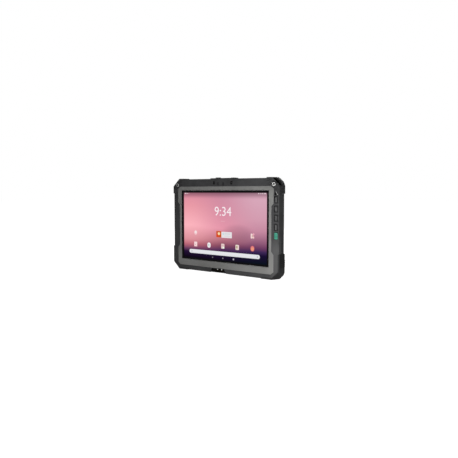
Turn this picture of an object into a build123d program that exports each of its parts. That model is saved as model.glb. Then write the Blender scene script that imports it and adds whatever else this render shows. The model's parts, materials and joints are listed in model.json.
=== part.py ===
from build123d import *
import os

# Rugged ten-inch tablet used as a field data collector, standing upright.
# X runs to the right across the screen, Z upwards and the screen faces -Y.  The origin is
# on the floor, under the middle of the body.

# ---- driving dimensions -----------------------------------------------------
DISPLAY_WIDTH = 217.0
DISPLAY_HEIGHT = 135.6
DISPLAY_Z = 94.6  # height of the display's centre above the floor

BODY_HALF = 136.4
BODY_BOTTOM = 0.6
BODY_TOP = 189.5
CORNER_RUN = 15.0  # sloping body corner, along X
CORNER_RISE = 13.5  # and along Z

FRAME_FRONT = -9.0
BEZEL_FRONT = -8.7
GLASS_FRONT = -7.8
GLASS_BACK = -6.8
GASKET_BACK = -5.9
PANEL_BACK = -4.6
BACKLIGHT_BACK = -2.6
SPLIT = -1.0  # plane where the front frame meets the rear cover
COVER_INSIDE = 6.6
COVER_BACK = 8.4
BUMPER_REACH = 9.9  # bumpers stand this far in front of and behind the middle
BUMPER_PROUD = 1.4  # and this far outside the body's sides

GLASS_HALF_X = 117.5
GLASS_HALF_Z = 76.0
PANEL_HALF_X = 113.8
PANEL_HALF_Z = 72.8
WINDOW_HALF_X = 112.8  # bezel opening, which leaves a black border to the display
WINDOW_HALF_Z = 71.6
BEZEL_WIDE = 124.6  # half widths of the waisted bezel
BEZEL_NARROW = 119.5
BEZEL_UP = 79.7
BEZEL_DOWN = 84.7
FIT = 0.3  # gap round pieces that drop into a pocket
THIN_FIT = 0.1

CHASSIS_HALF_X = 121.0
CHASSIS_UP = 79.0
CHASSIS_DOWN = 81.0

BUTTON_X = 130.2
BUTTON_ZS = [54.5, 37.5, 20.8, 3.8]  # above the display's centre
POWER_Z = -12.2
BUTTON_WIDTH = 8.8
BUTTON_HEIGHT = 12.6
POWER_HEIGHT = 13.4
BUTTON_TRAVEL = 0.7
BUTTON_FLOOR = -6.4  # rear of the frame's wall round the buttons

SCREW_U = 11.1  # strap post, inwards from the body's side
SCREW_V = 11.7  # and from its top
POST_RADIUS = 2.0
HEAD_RADIUS = 4.5
EAR_BACK = -7.4
SLOT_BACK = 2.6

DOCK_X = -12.0
DOCK_TOP_HALF = 15.6
DOCK_BOTTOM_HALF = 22.0
DOCK_TOP = 9.6
DOCK_FLOOR = -3.8

BAY_WIDTH = 94.0
BAY_HEIGHT = 86.0
BAY_X = 53.0
BAY_Z = 69.0
BAY_FLOOR = 1.4
LATCH_TRAVEL = 4.0

DOOR_AXIS_Y = 4.0
KNUCKLE_RADIUS = 1.0
PIN_RADIUS = 0.55
RUNNING = 0.05
DOOR_FACE = 136.0
DOOR_THICK = 1.6
RIGHT_DOOR = (51.2, 69.6)  # lower and upper ends
LEFT_DOOR = (51.6, 76.6)
RIGHT_SOCKET_Z = 60.4
LEFT_SOCKET_Z = 59.6
AUDIO_Z = 70.6
SOCKET_HALF = 4.6

os.makedirs("parts", exist_ok=True)


def at_y(y):
    """Plane facing the viewer at depth y; its own x and y run along X and Z."""
    return Plane.XZ.offset(-y)


def save(piece, label):
    """Name a finished piece and write it out."""
    piece.part.label = label
    export_step(piece.part, f"parts/{label}.step")


def block(x0, x1, y0, y1, z0, z1, mode=Mode.ADD):
    """Box between two corners."""
    with Locations(((x0 + x1) / 2, (y0 + y1) / 2, (z0 + z1) / 2)):
        Box(x1 - x0, y1 - y0, z1 - z0, mode=mode)


def octagon():
    """Body outline as one face of the sketch."""
    corners = [(BODY_HALF - CORNER_RUN, BODY_BOTTOM), (BODY_HALF, BODY_BOTTOM + CORNER_RISE)]
    corners += [(BODY_HALF, BODY_TOP - CORNER_RISE), (BODY_HALF - CORNER_RUN, BODY_TOP)]
    mirrored = [(-x, z) for x, z in reversed(corners)]
    Polygon(*corners, *mirrored, align=None)


def corner_points(points, side, upper):
    """Turn distances inwards from a body corner into X and Z."""
    edge = BODY_TOP if upper else BODY_BOTTOM
    down = -1 if upper else 1
    return [(side * (BODY_HALF - u), edge + down * v) for u, v in points]


# Inner edges of the corner bumpers, as distances inwards from the body corner.
UPPER_CORNER = [(28, -3), (28, 4.6), (24, 6), (9.5, 20.5), (5, 24), (5, 29.5), (-3, 29.5), (-3, -3)]
LOWER_CORNER = [(40, -3), (40, 2), (16.4, 2), (2, 14.9), (2, 48), (-3, 48), (-3, -3)]
# Outline of the bumpers, in the same way, from the top or bottom round to the side.
UPPER_OUTLINE = [(14.2, -1.4), (10.6, 0.0), (2.0, 7.2), (0.2, 11.0), (-1.4, 15.6)]
LOWER_OUTLINE = [(9.6, -0.6), (1.3, 7.1), (-0.5, 10.0), (-1.4, 13.0)]
# Front ear of a strap post ends at a slanted line; the lower corners lean in to the front.
EAR_CUT = [(19.8, -4), (-4, -4), (-4, 17.5)]
LEAN_FRONT = [(18.6, -3), (-4, -3), (-4, 17.3)]
LEAN_BACK = [(12.2, -3), (-4, -3), (-4, 11.6)]
CORNER_TAB = [(25.6, 7.6), (11.1, 22.1), (5, 20.5), (2.6, 15.5), (17.5, 2.6), (24, 3.4)]
CORNERS = [(side, upper) for upper in (True, False) for side in (-1, 1)]


def corner_face(side, upper, mode=Mode.ADD):
    """Area that one corner bumper takes from the body."""
    shape = UPPER_CORNER if upper else LOWER_CORNER
    Polygon(*corner_points(shape, side, upper), align=None, mode=mode)


def body_face():
    """Body outline without the areas that the corner bumpers take."""
    octagon()
    for side, upper in CORNERS:
        corner_face(side, upper, Mode.SUBTRACT)


def bumper_outline():
    """Outline round all four bumpers, convex at each corner."""
    right = corner_points(LOWER_OUTLINE, 1, False)
    right += reversed(corner_points(UPPER_OUTLINE, 1, True))
    left = [(-x, z) for x, z in reversed(right)]
    Polygon(*right, *left, align=None)


def screw_place(side):
    """Centre of a strap post in X and Z."""
    return corner_points([(SCREW_U, SCREW_V)], side, True)[0]


# ---- display ----------------------------------------------------------------

def bezel_outline(grow=0.0):
    """Waisted bezel outline round the display's centre."""
    up = BEZEL_UP + grow
    down = BEZEL_DOWN + grow
    wide = BEZEL_WIDE + grow
    slim = BEZEL_NARROW + grow
    right = [(wide - 6, -down), (wide, 5 - down), (wide, -48), (slim, -42)]
    right += [(slim, 42), (wide, 48), (wide, up - 5), (wide - 6, up)]
    left = [(-x, z) for x, z in reversed(right)]
    with Locations((0, DISPLAY_Z)):
        Polygon(*right, *left, align=None)


def display_rectangle(half_x, half_z, mode=Mode.ADD):
    """Rectangle centred on the display."""
    with Locations((0, DISPLAY_Z)):
        Rectangle(2 * half_x, 2 * half_z, mode=mode)


with BuildPart() as display_bezel:
    with BuildSketch(at_y(BEZEL_FRONT)):
        bezel_outline()
        display_rectangle(WINDOW_HALF_X, WINDOW_HALF_Z, Mode.SUBTRACT)
    extrude(amount=-(GLASS_FRONT - BEZEL_FRONT))
    inner_edges = display_bezel.faces().sort_by(Axis.Y)[0].inner_wires()[0].edges()
    chamfer(inner_edges, length=0.5)
save(display_bezel, "display_bezel")

with BuildPart() as cover_glass:
    with BuildSketch(at_y(GLASS_FRONT)):
        display_rectangle(GLASS_HALF_X, GLASS_HALF_Z)
    extrude(amount=-(GLASS_BACK - GLASS_FRONT))
    fillet(cover_glass.edges().filter_by(Axis.Y), radius=2.0)
save(cover_glass, "cover_glass")

with BuildPart() as display_gasket:
    with BuildSketch(at_y(GLASS_BACK)):
        display_rectangle(GLASS_HALF_X, GLASS_HALF_Z)
        display_rectangle(PANEL_HALF_X + 1.2, PANEL_HALF_Z + 1.2, Mode.SUBTRACT)
    extrude(amount=-(GASKET_BACK - GLASS_BACK))
save(display_gasket, "display_gasket")

with BuildPart() as lcd_panel:
    with BuildSketch(at_y(GLASS_BACK)):
        display_rectangle(PANEL_HALF_X, PANEL_HALF_Z)
    extrude(amount=-(PANEL_BACK - GLASS_BACK))
save(lcd_panel, "lcd_panel")

with BuildPart() as backlight_tray:
    with BuildSketch(at_y(PANEL_BACK)):
        display_rectangle(PANEL_HALF_X, PANEL_HALF_Z)
    extrude(amount=-(BACKLIGHT_BACK - PANEL_BACK))
    # Folded rim that holds the light guide.
    with BuildSketch(at_y(PANEL_BACK)):
        display_rectangle(DISPLAY_WIDTH / 2, DISPLAY_HEIGHT / 2)
    extrude(amount=-0.8, mode=Mode.SUBTRACT)
save(backlight_tray, "backlight_tray")

with BuildPart() as light_guide:
    with BuildSketch(at_y(PANEL_BACK)):
        display_rectangle(DISPLAY_WIDTH / 2, DISPLAY_HEIGHT / 2)
    extrude(amount=-0.8)
save(light_guide, "light_guide")

# ---- front frame ------------------------------------------------------------
SENSORS = [(-22.5, 87.6, 1.7), (23.2, 87.6, 2.3)]  # x, height over centre, radius
SOUND_SLOTS = [(-11.6, 84.6), (1.8, 84.2)]
COVER_SCREWS = [(-100, 184), (-62, 184), (62, 184), (100, 184)]
COVER_SCREWS += [(-86, 6), (-50, 6), (50, 6), (86, 6), (-128, 128), (-128, 92), (128, 30)]
TRIANGLE = [(125.2, 62.9), (132.0, 62.9), (128.6, 68.9)]
TOP_BUMPS = [(-14.0, 7.0, 2.5), (26.0, 7.0, 1.8)]  # x, width, height over the body


def button_pockets(half_extra, mode=Mode.ADD):
    """Rounded rectangles for the five keys, larger all round by half_extra."""
    width = BUTTON_WIDTH + 2 * half_extra
    for z in BUTTON_ZS:
        with Locations((BUTTON_X, DISPLAY_Z + z)):
            RectangleRounded(width, BUTTON_HEIGHT + 2 * half_extra, 1.2, mode=mode)
    with Locations((BUTTON_X, DISPLAY_Z + POWER_Z)):
        RectangleRounded(width, POWER_HEIGHT + 2 * half_extra, 1.2, mode=mode)


KEY_BAY_HALF = 5.1
KEY_BAY_LOW = DISPLAY_Z + POWER_Z - 10.0
KEY_BAY_HIGH = DISPLAY_Z + 72.5

with BuildPart() as front_frame:
    with BuildSketch(at_y(FRAME_FRONT)):
        body_face()
        # Raised strip and two guard bumps over the camera.
        with Locations((1, BODY_TOP + 0.55)):
            Rectangle(66, 1.5)
        for x, width, height in TOP_BUMPS:
            with Locations((x, BODY_TOP + height / 2)):
                Rectangle(width, height)
    extrude(amount=-(SPLIT - FRAME_FRONT))
    front_rim = front_frame.faces().sort_by(Axis.Y)[0].outer_wire().edges()
    chamfer(front_rim.filter_by(lambda edge: edge.length > 8), length=0.9)
    # Pocket for the bezel, then the glass, the gasket's ledge and the panel.
    with BuildSketch(at_y(FRAME_FRONT)):
        bezel_outline(THIN_FIT)
    extrude(amount=-(GLASS_FRONT - FRAME_FRONT), mode=Mode.SUBTRACT)
    with BuildSketch(at_y(GLASS_FRONT)):
        display_rectangle(GLASS_HALF_X + FIT, GLASS_HALF_Z + FIT)
    extrude(amount=-(GASKET_BACK - GLASS_FRONT), mode=Mode.SUBTRACT)
    with BuildSketch(at_y(GASKET_BACK)):
        display_rectangle(PANEL_HALF_X + FIT, PANEL_HALF_Z + FIT)
    extrude(amount=-(SPLIT - GASKET_BACK), mode=Mode.SUBTRACT)
    block(-CHASSIS_HALF_X - FIT, CHASSIS_HALF_X + FIT, BACKLIGHT_BACK, SPLIT,
          DISPLAY_Z - CHASSIS_DOWN - FIT, DISPLAY_Z + CHASSIS_UP + FIT, Mode.SUBTRACT)
    # Keys: shaped holes in front of one long bay for the seal and the board.
    with BuildSketch(at_y(FRAME_FRONT)):
        button_pockets(FIT)
    extrude(amount=-(SPLIT - FRAME_FRONT), mode=Mode.SUBTRACT)
    block(BUTTON_X - KEY_BAY_HALF, BUTTON_X + KEY_BAY_HALF, BUTTON_FLOOR, SPLIT,
          KEY_BAY_LOW, KEY_BAY_HIGH, Mode.SUBTRACT)
    # Triangular indicator recess with sloping walls.
    with BuildSketch(at_y(FRAME_FRONT)):
        with Locations((0, DISPLAY_Z)):
            Polygon(*TRIANGLE, align=None)
    extrude(amount=-(BUTTON_FLOOR - FRAME_FRONT), mode=Mode.SUBTRACT)
    # Lit facet beside the indicator.
    with BuildSketch(at_y(FRAME_FRONT)):
        with Locations((0, DISPLAY_Z)):
            Polygon((132.2, 63.0), (134.8, 64.2), (131.8, 69.6), (129.0, 69.2), align=None)
    extrude(amount=-0.7, mode=Mode.SUBTRACT)
    # Light sensor, camera and the two microphone slots.
    with BuildSketch(at_y(FRAME_FRONT)):
        for x, z, radius in SENSORS:
            with Locations((x, DISPLAY_Z + z)):
                Circle(radius)
        for x, z in SOUND_SLOTS:
            with Locations((x, DISPLAY_Z + z)):
                SlotOverall(5.0, 1.5, rotation=90)
    extrude(amount=-4.0, mode=Mode.SUBTRACT)
    for x, z, radius in SENSORS:
        block(x - 3.7, x + 3.7, FRAME_FRONT + 1.8, SPLIT,
              DISPLAY_Z + z - 3.7, DISPLAY_Z + z + 3.7, Mode.SUBTRACT)
    for x, z in SOUND_SLOTS:
        block(x - 2.2, x + 2.2, FRAME_FRONT + 1.8, SPLIT,
              DISPLAY_Z + z - 3.0, DISPLAY_Z + z + 3.0, Mode.SUBTRACT)
    # Dock recess, open in front and below.
    with BuildSketch(at_y(FRAME_FRONT)):
        low = BODY_BOTTOM - 1
        Polygon((DOCK_X - DOCK_BOTTOM_HALF, low), (DOCK_X + DOCK_BOTTOM_HALF, low),
                (DOCK_X + DOCK_TOP_HALF, DOCK_TOP), (DOCK_X - DOCK_TOP_HALF, DOCK_TOP),
                align=None)
    extrude(amount=-(DOCK_FLOOR - FRAME_FRONT), mode=Mode.SUBTRACT)
    block(DOCK_X - 13, DOCK_X + 13, DOCK_FLOOR, SPLIT, 1.8, 8.4, Mode.SUBTRACT)
    # Holes for the screws that come through the rear cover.
    with BuildSketch(at_y(SPLIT)):
        with Locations(*COVER_SCREWS):
            Circle(1.3)
    extrude(amount=5.0, mode=Mode.SUBTRACT)
save(front_frame, "front_frame")

# ---- corner bumpers and strap posts -----------------------------------------


def slot_area(side):
    """Open area outside the strap post, between the two ears of a corner."""
    area = [(17, -4), (-4, -4), (-4, 15), (3.6, 15), (17, 3.2)]
    Polygon(*corner_points(area, side, True), align=None)


def corner_bumper(side, upper, label):
    """Rubber block round one corner; the upper ones carry a strap post."""
    with BuildPart() as bumper:
        with BuildSketch(at_y(-BUMPER_REACH)):
            bumper_outline()
            corner_face(side, upper, Mode.INTERSECT)
        extrude(amount=-2 * BUMPER_REACH)
        for rim in (bumper.faces().sort_by(Axis.Y)[0], bumper.faces().sort_by(Axis.Y)[-1]):
            chamfer(rim.edges().filter_by(lambda edge: edge.length > 3), length=0.8)
        if upper:
            centre = screw_place(side)
            with BuildSketch(at_y(-BUMPER_REACH)):
                Polygon(*corner_points(EAR_CUT, side, True), align=None)
            extrude(amount=-(EAR_BACK + BUMPER_REACH), mode=Mode.SUBTRACT)
            with BuildSketch(at_y(EAR_BACK)):
                slot_area(side)
                with Locations(centre):
                    Circle(5.0)
            extrude(amount=-(SLOT_BACK - EAR_BACK), mode=Mode.SUBTRACT)
            with BuildSketch(at_y(-BUMPER_REACH)):
                with Locations(centre):
                    Circle(HEAD_RADIUS + 0.1)
            extrude(amount=-1.8, mode=Mode.SUBTRACT)
            with BuildSketch(at_y(-BUMPER_REACH)):
                with Locations(centre):
                    Circle(POST_RADIUS + RUNNING)
            extrude(amount=-(COVER_INSIDE + BUMPER_REACH), mode=Mode.SUBTRACT)
            with BuildSketch(at_y(SLOT_BACK + 0.8)):
                Polygon(*corner_points(CORNER_TAB, side, True), align=None)
            extrude(amount=-(COVER_INSIDE - SLOT_BACK - 0.8), mode=Mode.SUBTRACT)
        else:
            with BuildSketch(at_y(-BUMPER_REACH)):
                Polygon(*corner_points(LEAN_FRONT, side, False), align=None)
            with BuildSketch(at_y(BUMPER_REACH)):
                Polygon(*corner_points(LEAN_BACK, side, False), align=None)
            loft(mode=Mode.SUBTRACT)
        # Grip ribs across the outer side, towards the rear on the lower bumpers.
        first, count, pitch, proud, middle = (20.5, 3, 3.2, 0.5, 0) if upper else (25.2, 4, 3.5, 1.2, 2.6)
        for step in range(count):
            height = corner_points([(0, first + step * pitch)], side, upper)[0][1]
            outer = side * (BODY_HALF + BUMPER_PROUD)
            with Locations((outer, middle, height)):
                Box(2 * proud, 13.0, 1.8)
    save(bumper, label)


NAMES = {(-1, True): "top_left", (1, True): "top_right"}
NAMES.update({(-1, False): "bottom_left", (1, False): "bottom_right"})
for side, upper in CORNERS:
    corner_bumper(side, upper, f"corner_bumper_{NAMES[(side, upper)]}")

with BuildPart() as strap_post_screws:
    with BuildSketch(at_y(-BUMPER_REACH)):
        with Locations(screw_place(-1), screw_place(1)):
            Circle(HEAD_RADIUS)
    extrude(amount=-1.8)
    with BuildSketch(at_y(1.8 - BUMPER_REACH)):
        with Locations(screw_place(-1), screw_place(1)):
            Circle(POST_RADIUS)
    extrude(amount=-(COVER_INSIDE - 0.6 + BUMPER_REACH - 1.8))
    with BuildSketch(at_y(-BUMPER_REACH)):
        with Locations(screw_place(-1), screw_place(1)):
            RegularPolygon(radius=2.0, side_count=6)
    extrude(amount=-1.5, mode=Mode.SUBTRACT)
    rims = strap_post_screws.edges().filter_by(GeomType.CIRCLE).group_by(Axis.Y)[0]
    chamfer(rims, length=0.4)
save(strap_post_screws, "strap_post_screws")

# ---- keys -------------------------------------------------------------------
for number, z in enumerate(BUTTON_ZS, start=1):
    with BuildPart() as key:
        with BuildSketch(at_y(-8.5)):
            with Locations((BUTTON_X, DISPLAY_Z + z)):
                RectangleRounded(BUTTON_WIDTH, BUTTON_HEIGHT, 1.0)
        extrude(amount=-2.3)
        with BuildSketch(at_y(BUTTON_FLOOR + THIN_FIT)):
            with Locations((BUTTON_X, DISPLAY_Z + z)):
                Rectangle(BUTTON_WIDTH + 1.0, BUTTON_HEIGHT + 1.8)
        extrude(amount=-0.9)
        # Raised grip down the middle of the key.
        with BuildSketch(at_y(-8.5)):
            with Locations((BUTTON_X, DISPLAY_Z + z)):
                RectangleRounded(4.4, 10.4, 2.0)
        extrude(amount=1.0, taper=18)
    save(key, f"function_key_{number}")

with BuildPart() as power_key:
    with BuildSketch(at_y(-9.1)):
        with Locations((BUTTON_X, DISPLAY_Z + POWER_Z)):
            RectangleRounded(BUTTON_WIDTH, POWER_HEIGHT, 1.0)
    extrude(amount=-2.9)
    with BuildSketch(at_y(BUTTON_FLOOR + THIN_FIT)):
        with Locations((BUTTON_X, DISPLAY_Z + POWER_Z)):
            Rectangle(BUTTON_WIDTH + 1.0, POWER_HEIGHT + 1.6)
    extrude(amount=-0.9)
    with BuildSketch(at_y(-9.1)):
        with Locations((BUTTON_X, DISPLAY_Z + POWER_Z)):
            RectangleRounded(6.8, 10.8, 1.5)
    extrude(amount=0.5, taper=40)
save(power_key, "power_key")

KEY_ZS = [DISPLAY_Z + z for z in BUTTON_ZS + [POWER_Z]]
SEAL_FRONT = BUTTON_FLOOR + THIN_FIT + 0.9 + BUTTON_TRAVEL + THIN_FIT

with BuildPart() as key_seal:
    block(BUTTON_X - KEY_BAY_HALF + 0.2, BUTTON_X + KEY_BAY_HALF - 0.2, SEAL_FRONT, SEAL_FRONT + 0.6,
          KEY_BAY_LOW + 0.4, KEY_BAY_HIGH - 9.4)
save(key_seal, "key_seal")

with BuildPart() as dome_switches:
    with BuildSketch(at_y(SEAL_FRONT + 0.6)):
        with Locations(*[(BUTTON_X, z) for z in KEY_ZS]):
            Circle(2.5)
    extrude(amount=-0.5)
save(dome_switches, "dome_switches")

with BuildPart() as key_board:
    block(BUTTON_X - KEY_BAY_HALF + 0.2, BUTTON_X + KEY_BAY_HALF - 0.2, SEAL_FRONT + 1.1, SEAL_FRONT + 2.1,
          KEY_BAY_LOW + 0.4, KEY_BAY_HIGH - 9.4)
save(key_board, "key_board")

# ---- sensors and indicator --------------------------------------------------
with BuildPart() as indicator_window:
    with BuildSketch(at_y(FRAME_FRONT + 0.7)):
        with Locations((0, DISPLAY_Z)):
            Polygon(*TRIANGLE, align=None)
        offset(amount=-0.1)
    extrude(amount=-1.9)
save(indicator_window, "indicator_window")

with BuildPart() as indicator_light:
    block(BUTTON_X - 4.4, BUTTON_X + 1.2, BUTTON_FLOOR, BUTTON_FLOOR + 3.4,
          DISPLAY_Z + 64.0, DISPLAY_Z + 68.0)
save(indicator_light, "indicator_light")

sensor_names = ["light_sensor_window", "front_camera_window"]
for label, (x, z, radius) in zip(sensor_names, SENSORS):
    with BuildPart() as window:
        with BuildSketch(at_y(FRAME_FRONT + 0.5)):
            with Locations((x, DISPLAY_Z + z)):
                Circle(radius - 0.05)
        extrude(amount=-1.3)
    save(window, label)

for label, (x, z, radius) in zip(["light_sensor", "front_camera_module"], SENSORS):
    with BuildPart() as module:
        block(x - 3.5, x + 3.5, FRAME_FRONT + 1.8, -3.4,
              DISPLAY_Z + z - 3.5, DISPLAY_Z + z + 3.5)
    save(module, label)

with BuildPart() as microphones:
    for x, z in SOUND_SLOTS:
        block(x - 2.0, x + 2.0, -6.0, -4.8, DISPLAY_Z + z - 2.8, DISPLAY_Z + z + 2.8)
save(microphones, "microphones")

# ---- dock connector ---------------------------------------------------------
with BuildPart() as dock_connector:
    block(DOCK_X - 12.9, DOCK_X + 12.9, DOCK_FLOOR - 0.5, SPLIT - 0.2, 1.9, 8.3)
save(dock_connector, "dock_connector")

with BuildPart() as dock_contacts:
    for column in range(9):
        for low in (2.5, 5.4):
            x = DOCK_X + (column - 4) * 2.6
            block(x - 0.7, x + 0.7, DOCK_FLOOR - 0.8, DOCK_FLOOR - 0.5, low, low + 2.2)
save(dock_contacts, "dock_contacts")

# ---- inside the body --------------------------------------------------------
with BuildPart() as chassis_plate:
    block(-CHASSIS_HALF_X, CHASSIS_HALF_X, BACKLIGHT_BACK, SPLIT - 0.2,
          DISPLAY_Z - CHASSIS_DOWN, DISPLAY_Z + CHASSIS_UP)
    # Lightening windows, with ribs left between them.
    with BuildSketch(at_y(BACKLIGHT_BACK)):
        with Locations((0, DISPLAY_Z)):
            with GridLocations(56, 48, 4, 3):
                RectangleRounded(40, 32, 4)
    extrude(amount=-0.7, mode=Mode.SUBTRACT)
save(chassis_plate, "chassis_plate")

BOARD_LOW = 119.0
BOARD_HIGH = 168.0
with BuildPart() as main_board:
    block(-104, 104, 1.0, 2.2, BOARD_LOW, BOARD_HIGH)
    with BuildSketch(at_y(1.0)):
        with Locations((0, (BOARD_LOW + BOARD_HIGH) / 2)):
            with GridLocations(196, 41, 2, 2):
                Circle(1.4)
    extrude(amount=-1.2, mode=Mode.SUBTRACT)
save(main_board, "main_board")

with BuildPart() as board_standoffs:
    with BuildSketch(at_y(SPLIT - 0.2)):
        with Locations((0, (BOARD_LOW + BOARD_HIGH) / 2)):
            with GridLocations(196, 41, 2, 2):
                Circle(2.4)
    extrude(amount=-2.2)
save(board_standoffs, "board_standoffs")

with BuildPart() as processor_shield:
    block(-38, 26, 2.2, 4.6, 126, 162)
    block(-37.6, 25.6, 2.2, 4.2, 126.4, 161.6, Mode.SUBTRACT)
save(processor_shield, "processor_shield")

with BuildPart() as processor:
    block(-16, 2, 2.2, 4.1, 136, 152)
save(processor, "processor")

with BuildPart() as heat_spreader:
    block(-40, 28, 4.6, 5.2, 124, 164)
save(heat_spreader, "heat_spreader")

with BuildPart() as card_reader:
    block(74, 90, 2.2, 4.6, 130, 146)
    block(75, 89, 2.8, 4.0, 129, 144, Mode.SUBTRACT)
save(card_reader, "card_reader")

with BuildPart() as antennas:
    block(-98, -58, 5.6, 6.0, 173, 179)
    block(58, 98, 5.6, 6.0, 173, 179)
save(antennas, "antennas")

with BuildPart() as loudspeaker:
    block(-12, 12, 1.0, 5.4, 7, 20)
    with BuildSketch(at_y(5.4)):
        with Locations((0, 13.5)):
            SlotOverall(20, 9)
    extrude(amount=-0.8)
save(loudspeaker, "loudspeaker")

# ---- rear cover -------------------------------------------------------------
STRAP_X = 112.0
STRAP_LOW = 20.0
STRAP_HIGH = 158.0
STRAP_CENTRE = (0, (STRAP_LOW + STRAP_HIGH) / 2)
CAMERA = (-72.0, 146.0)
LAMP = (-58.0, 146.0)
SCREW_BOSS = 3.2
LATCH_HALF = 9.0
LATCH_HEIGHT = 8.0
BAY_TOP = BAY_Z + BAY_HEIGHT / 2
WINDOW_LOW = BAY_TOP + 3.2
LATCH_REST = WINDOW_LOW + 0.2 + LATCH_TRAVEL
LATCH_NOTCH_HALF = 7.5
LATCH_NOTCH_DEEP = 6.5
LATCH_LEDGE_Y = 3.8
DOORS = [(1, RIGHT_DOOR), (-1, LEFT_DOOR)]


def span(side, inner, outer):
    """Lowest and highest X of a stretch on one side of the body."""
    return sorted((side * inner, side * outer))


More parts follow.
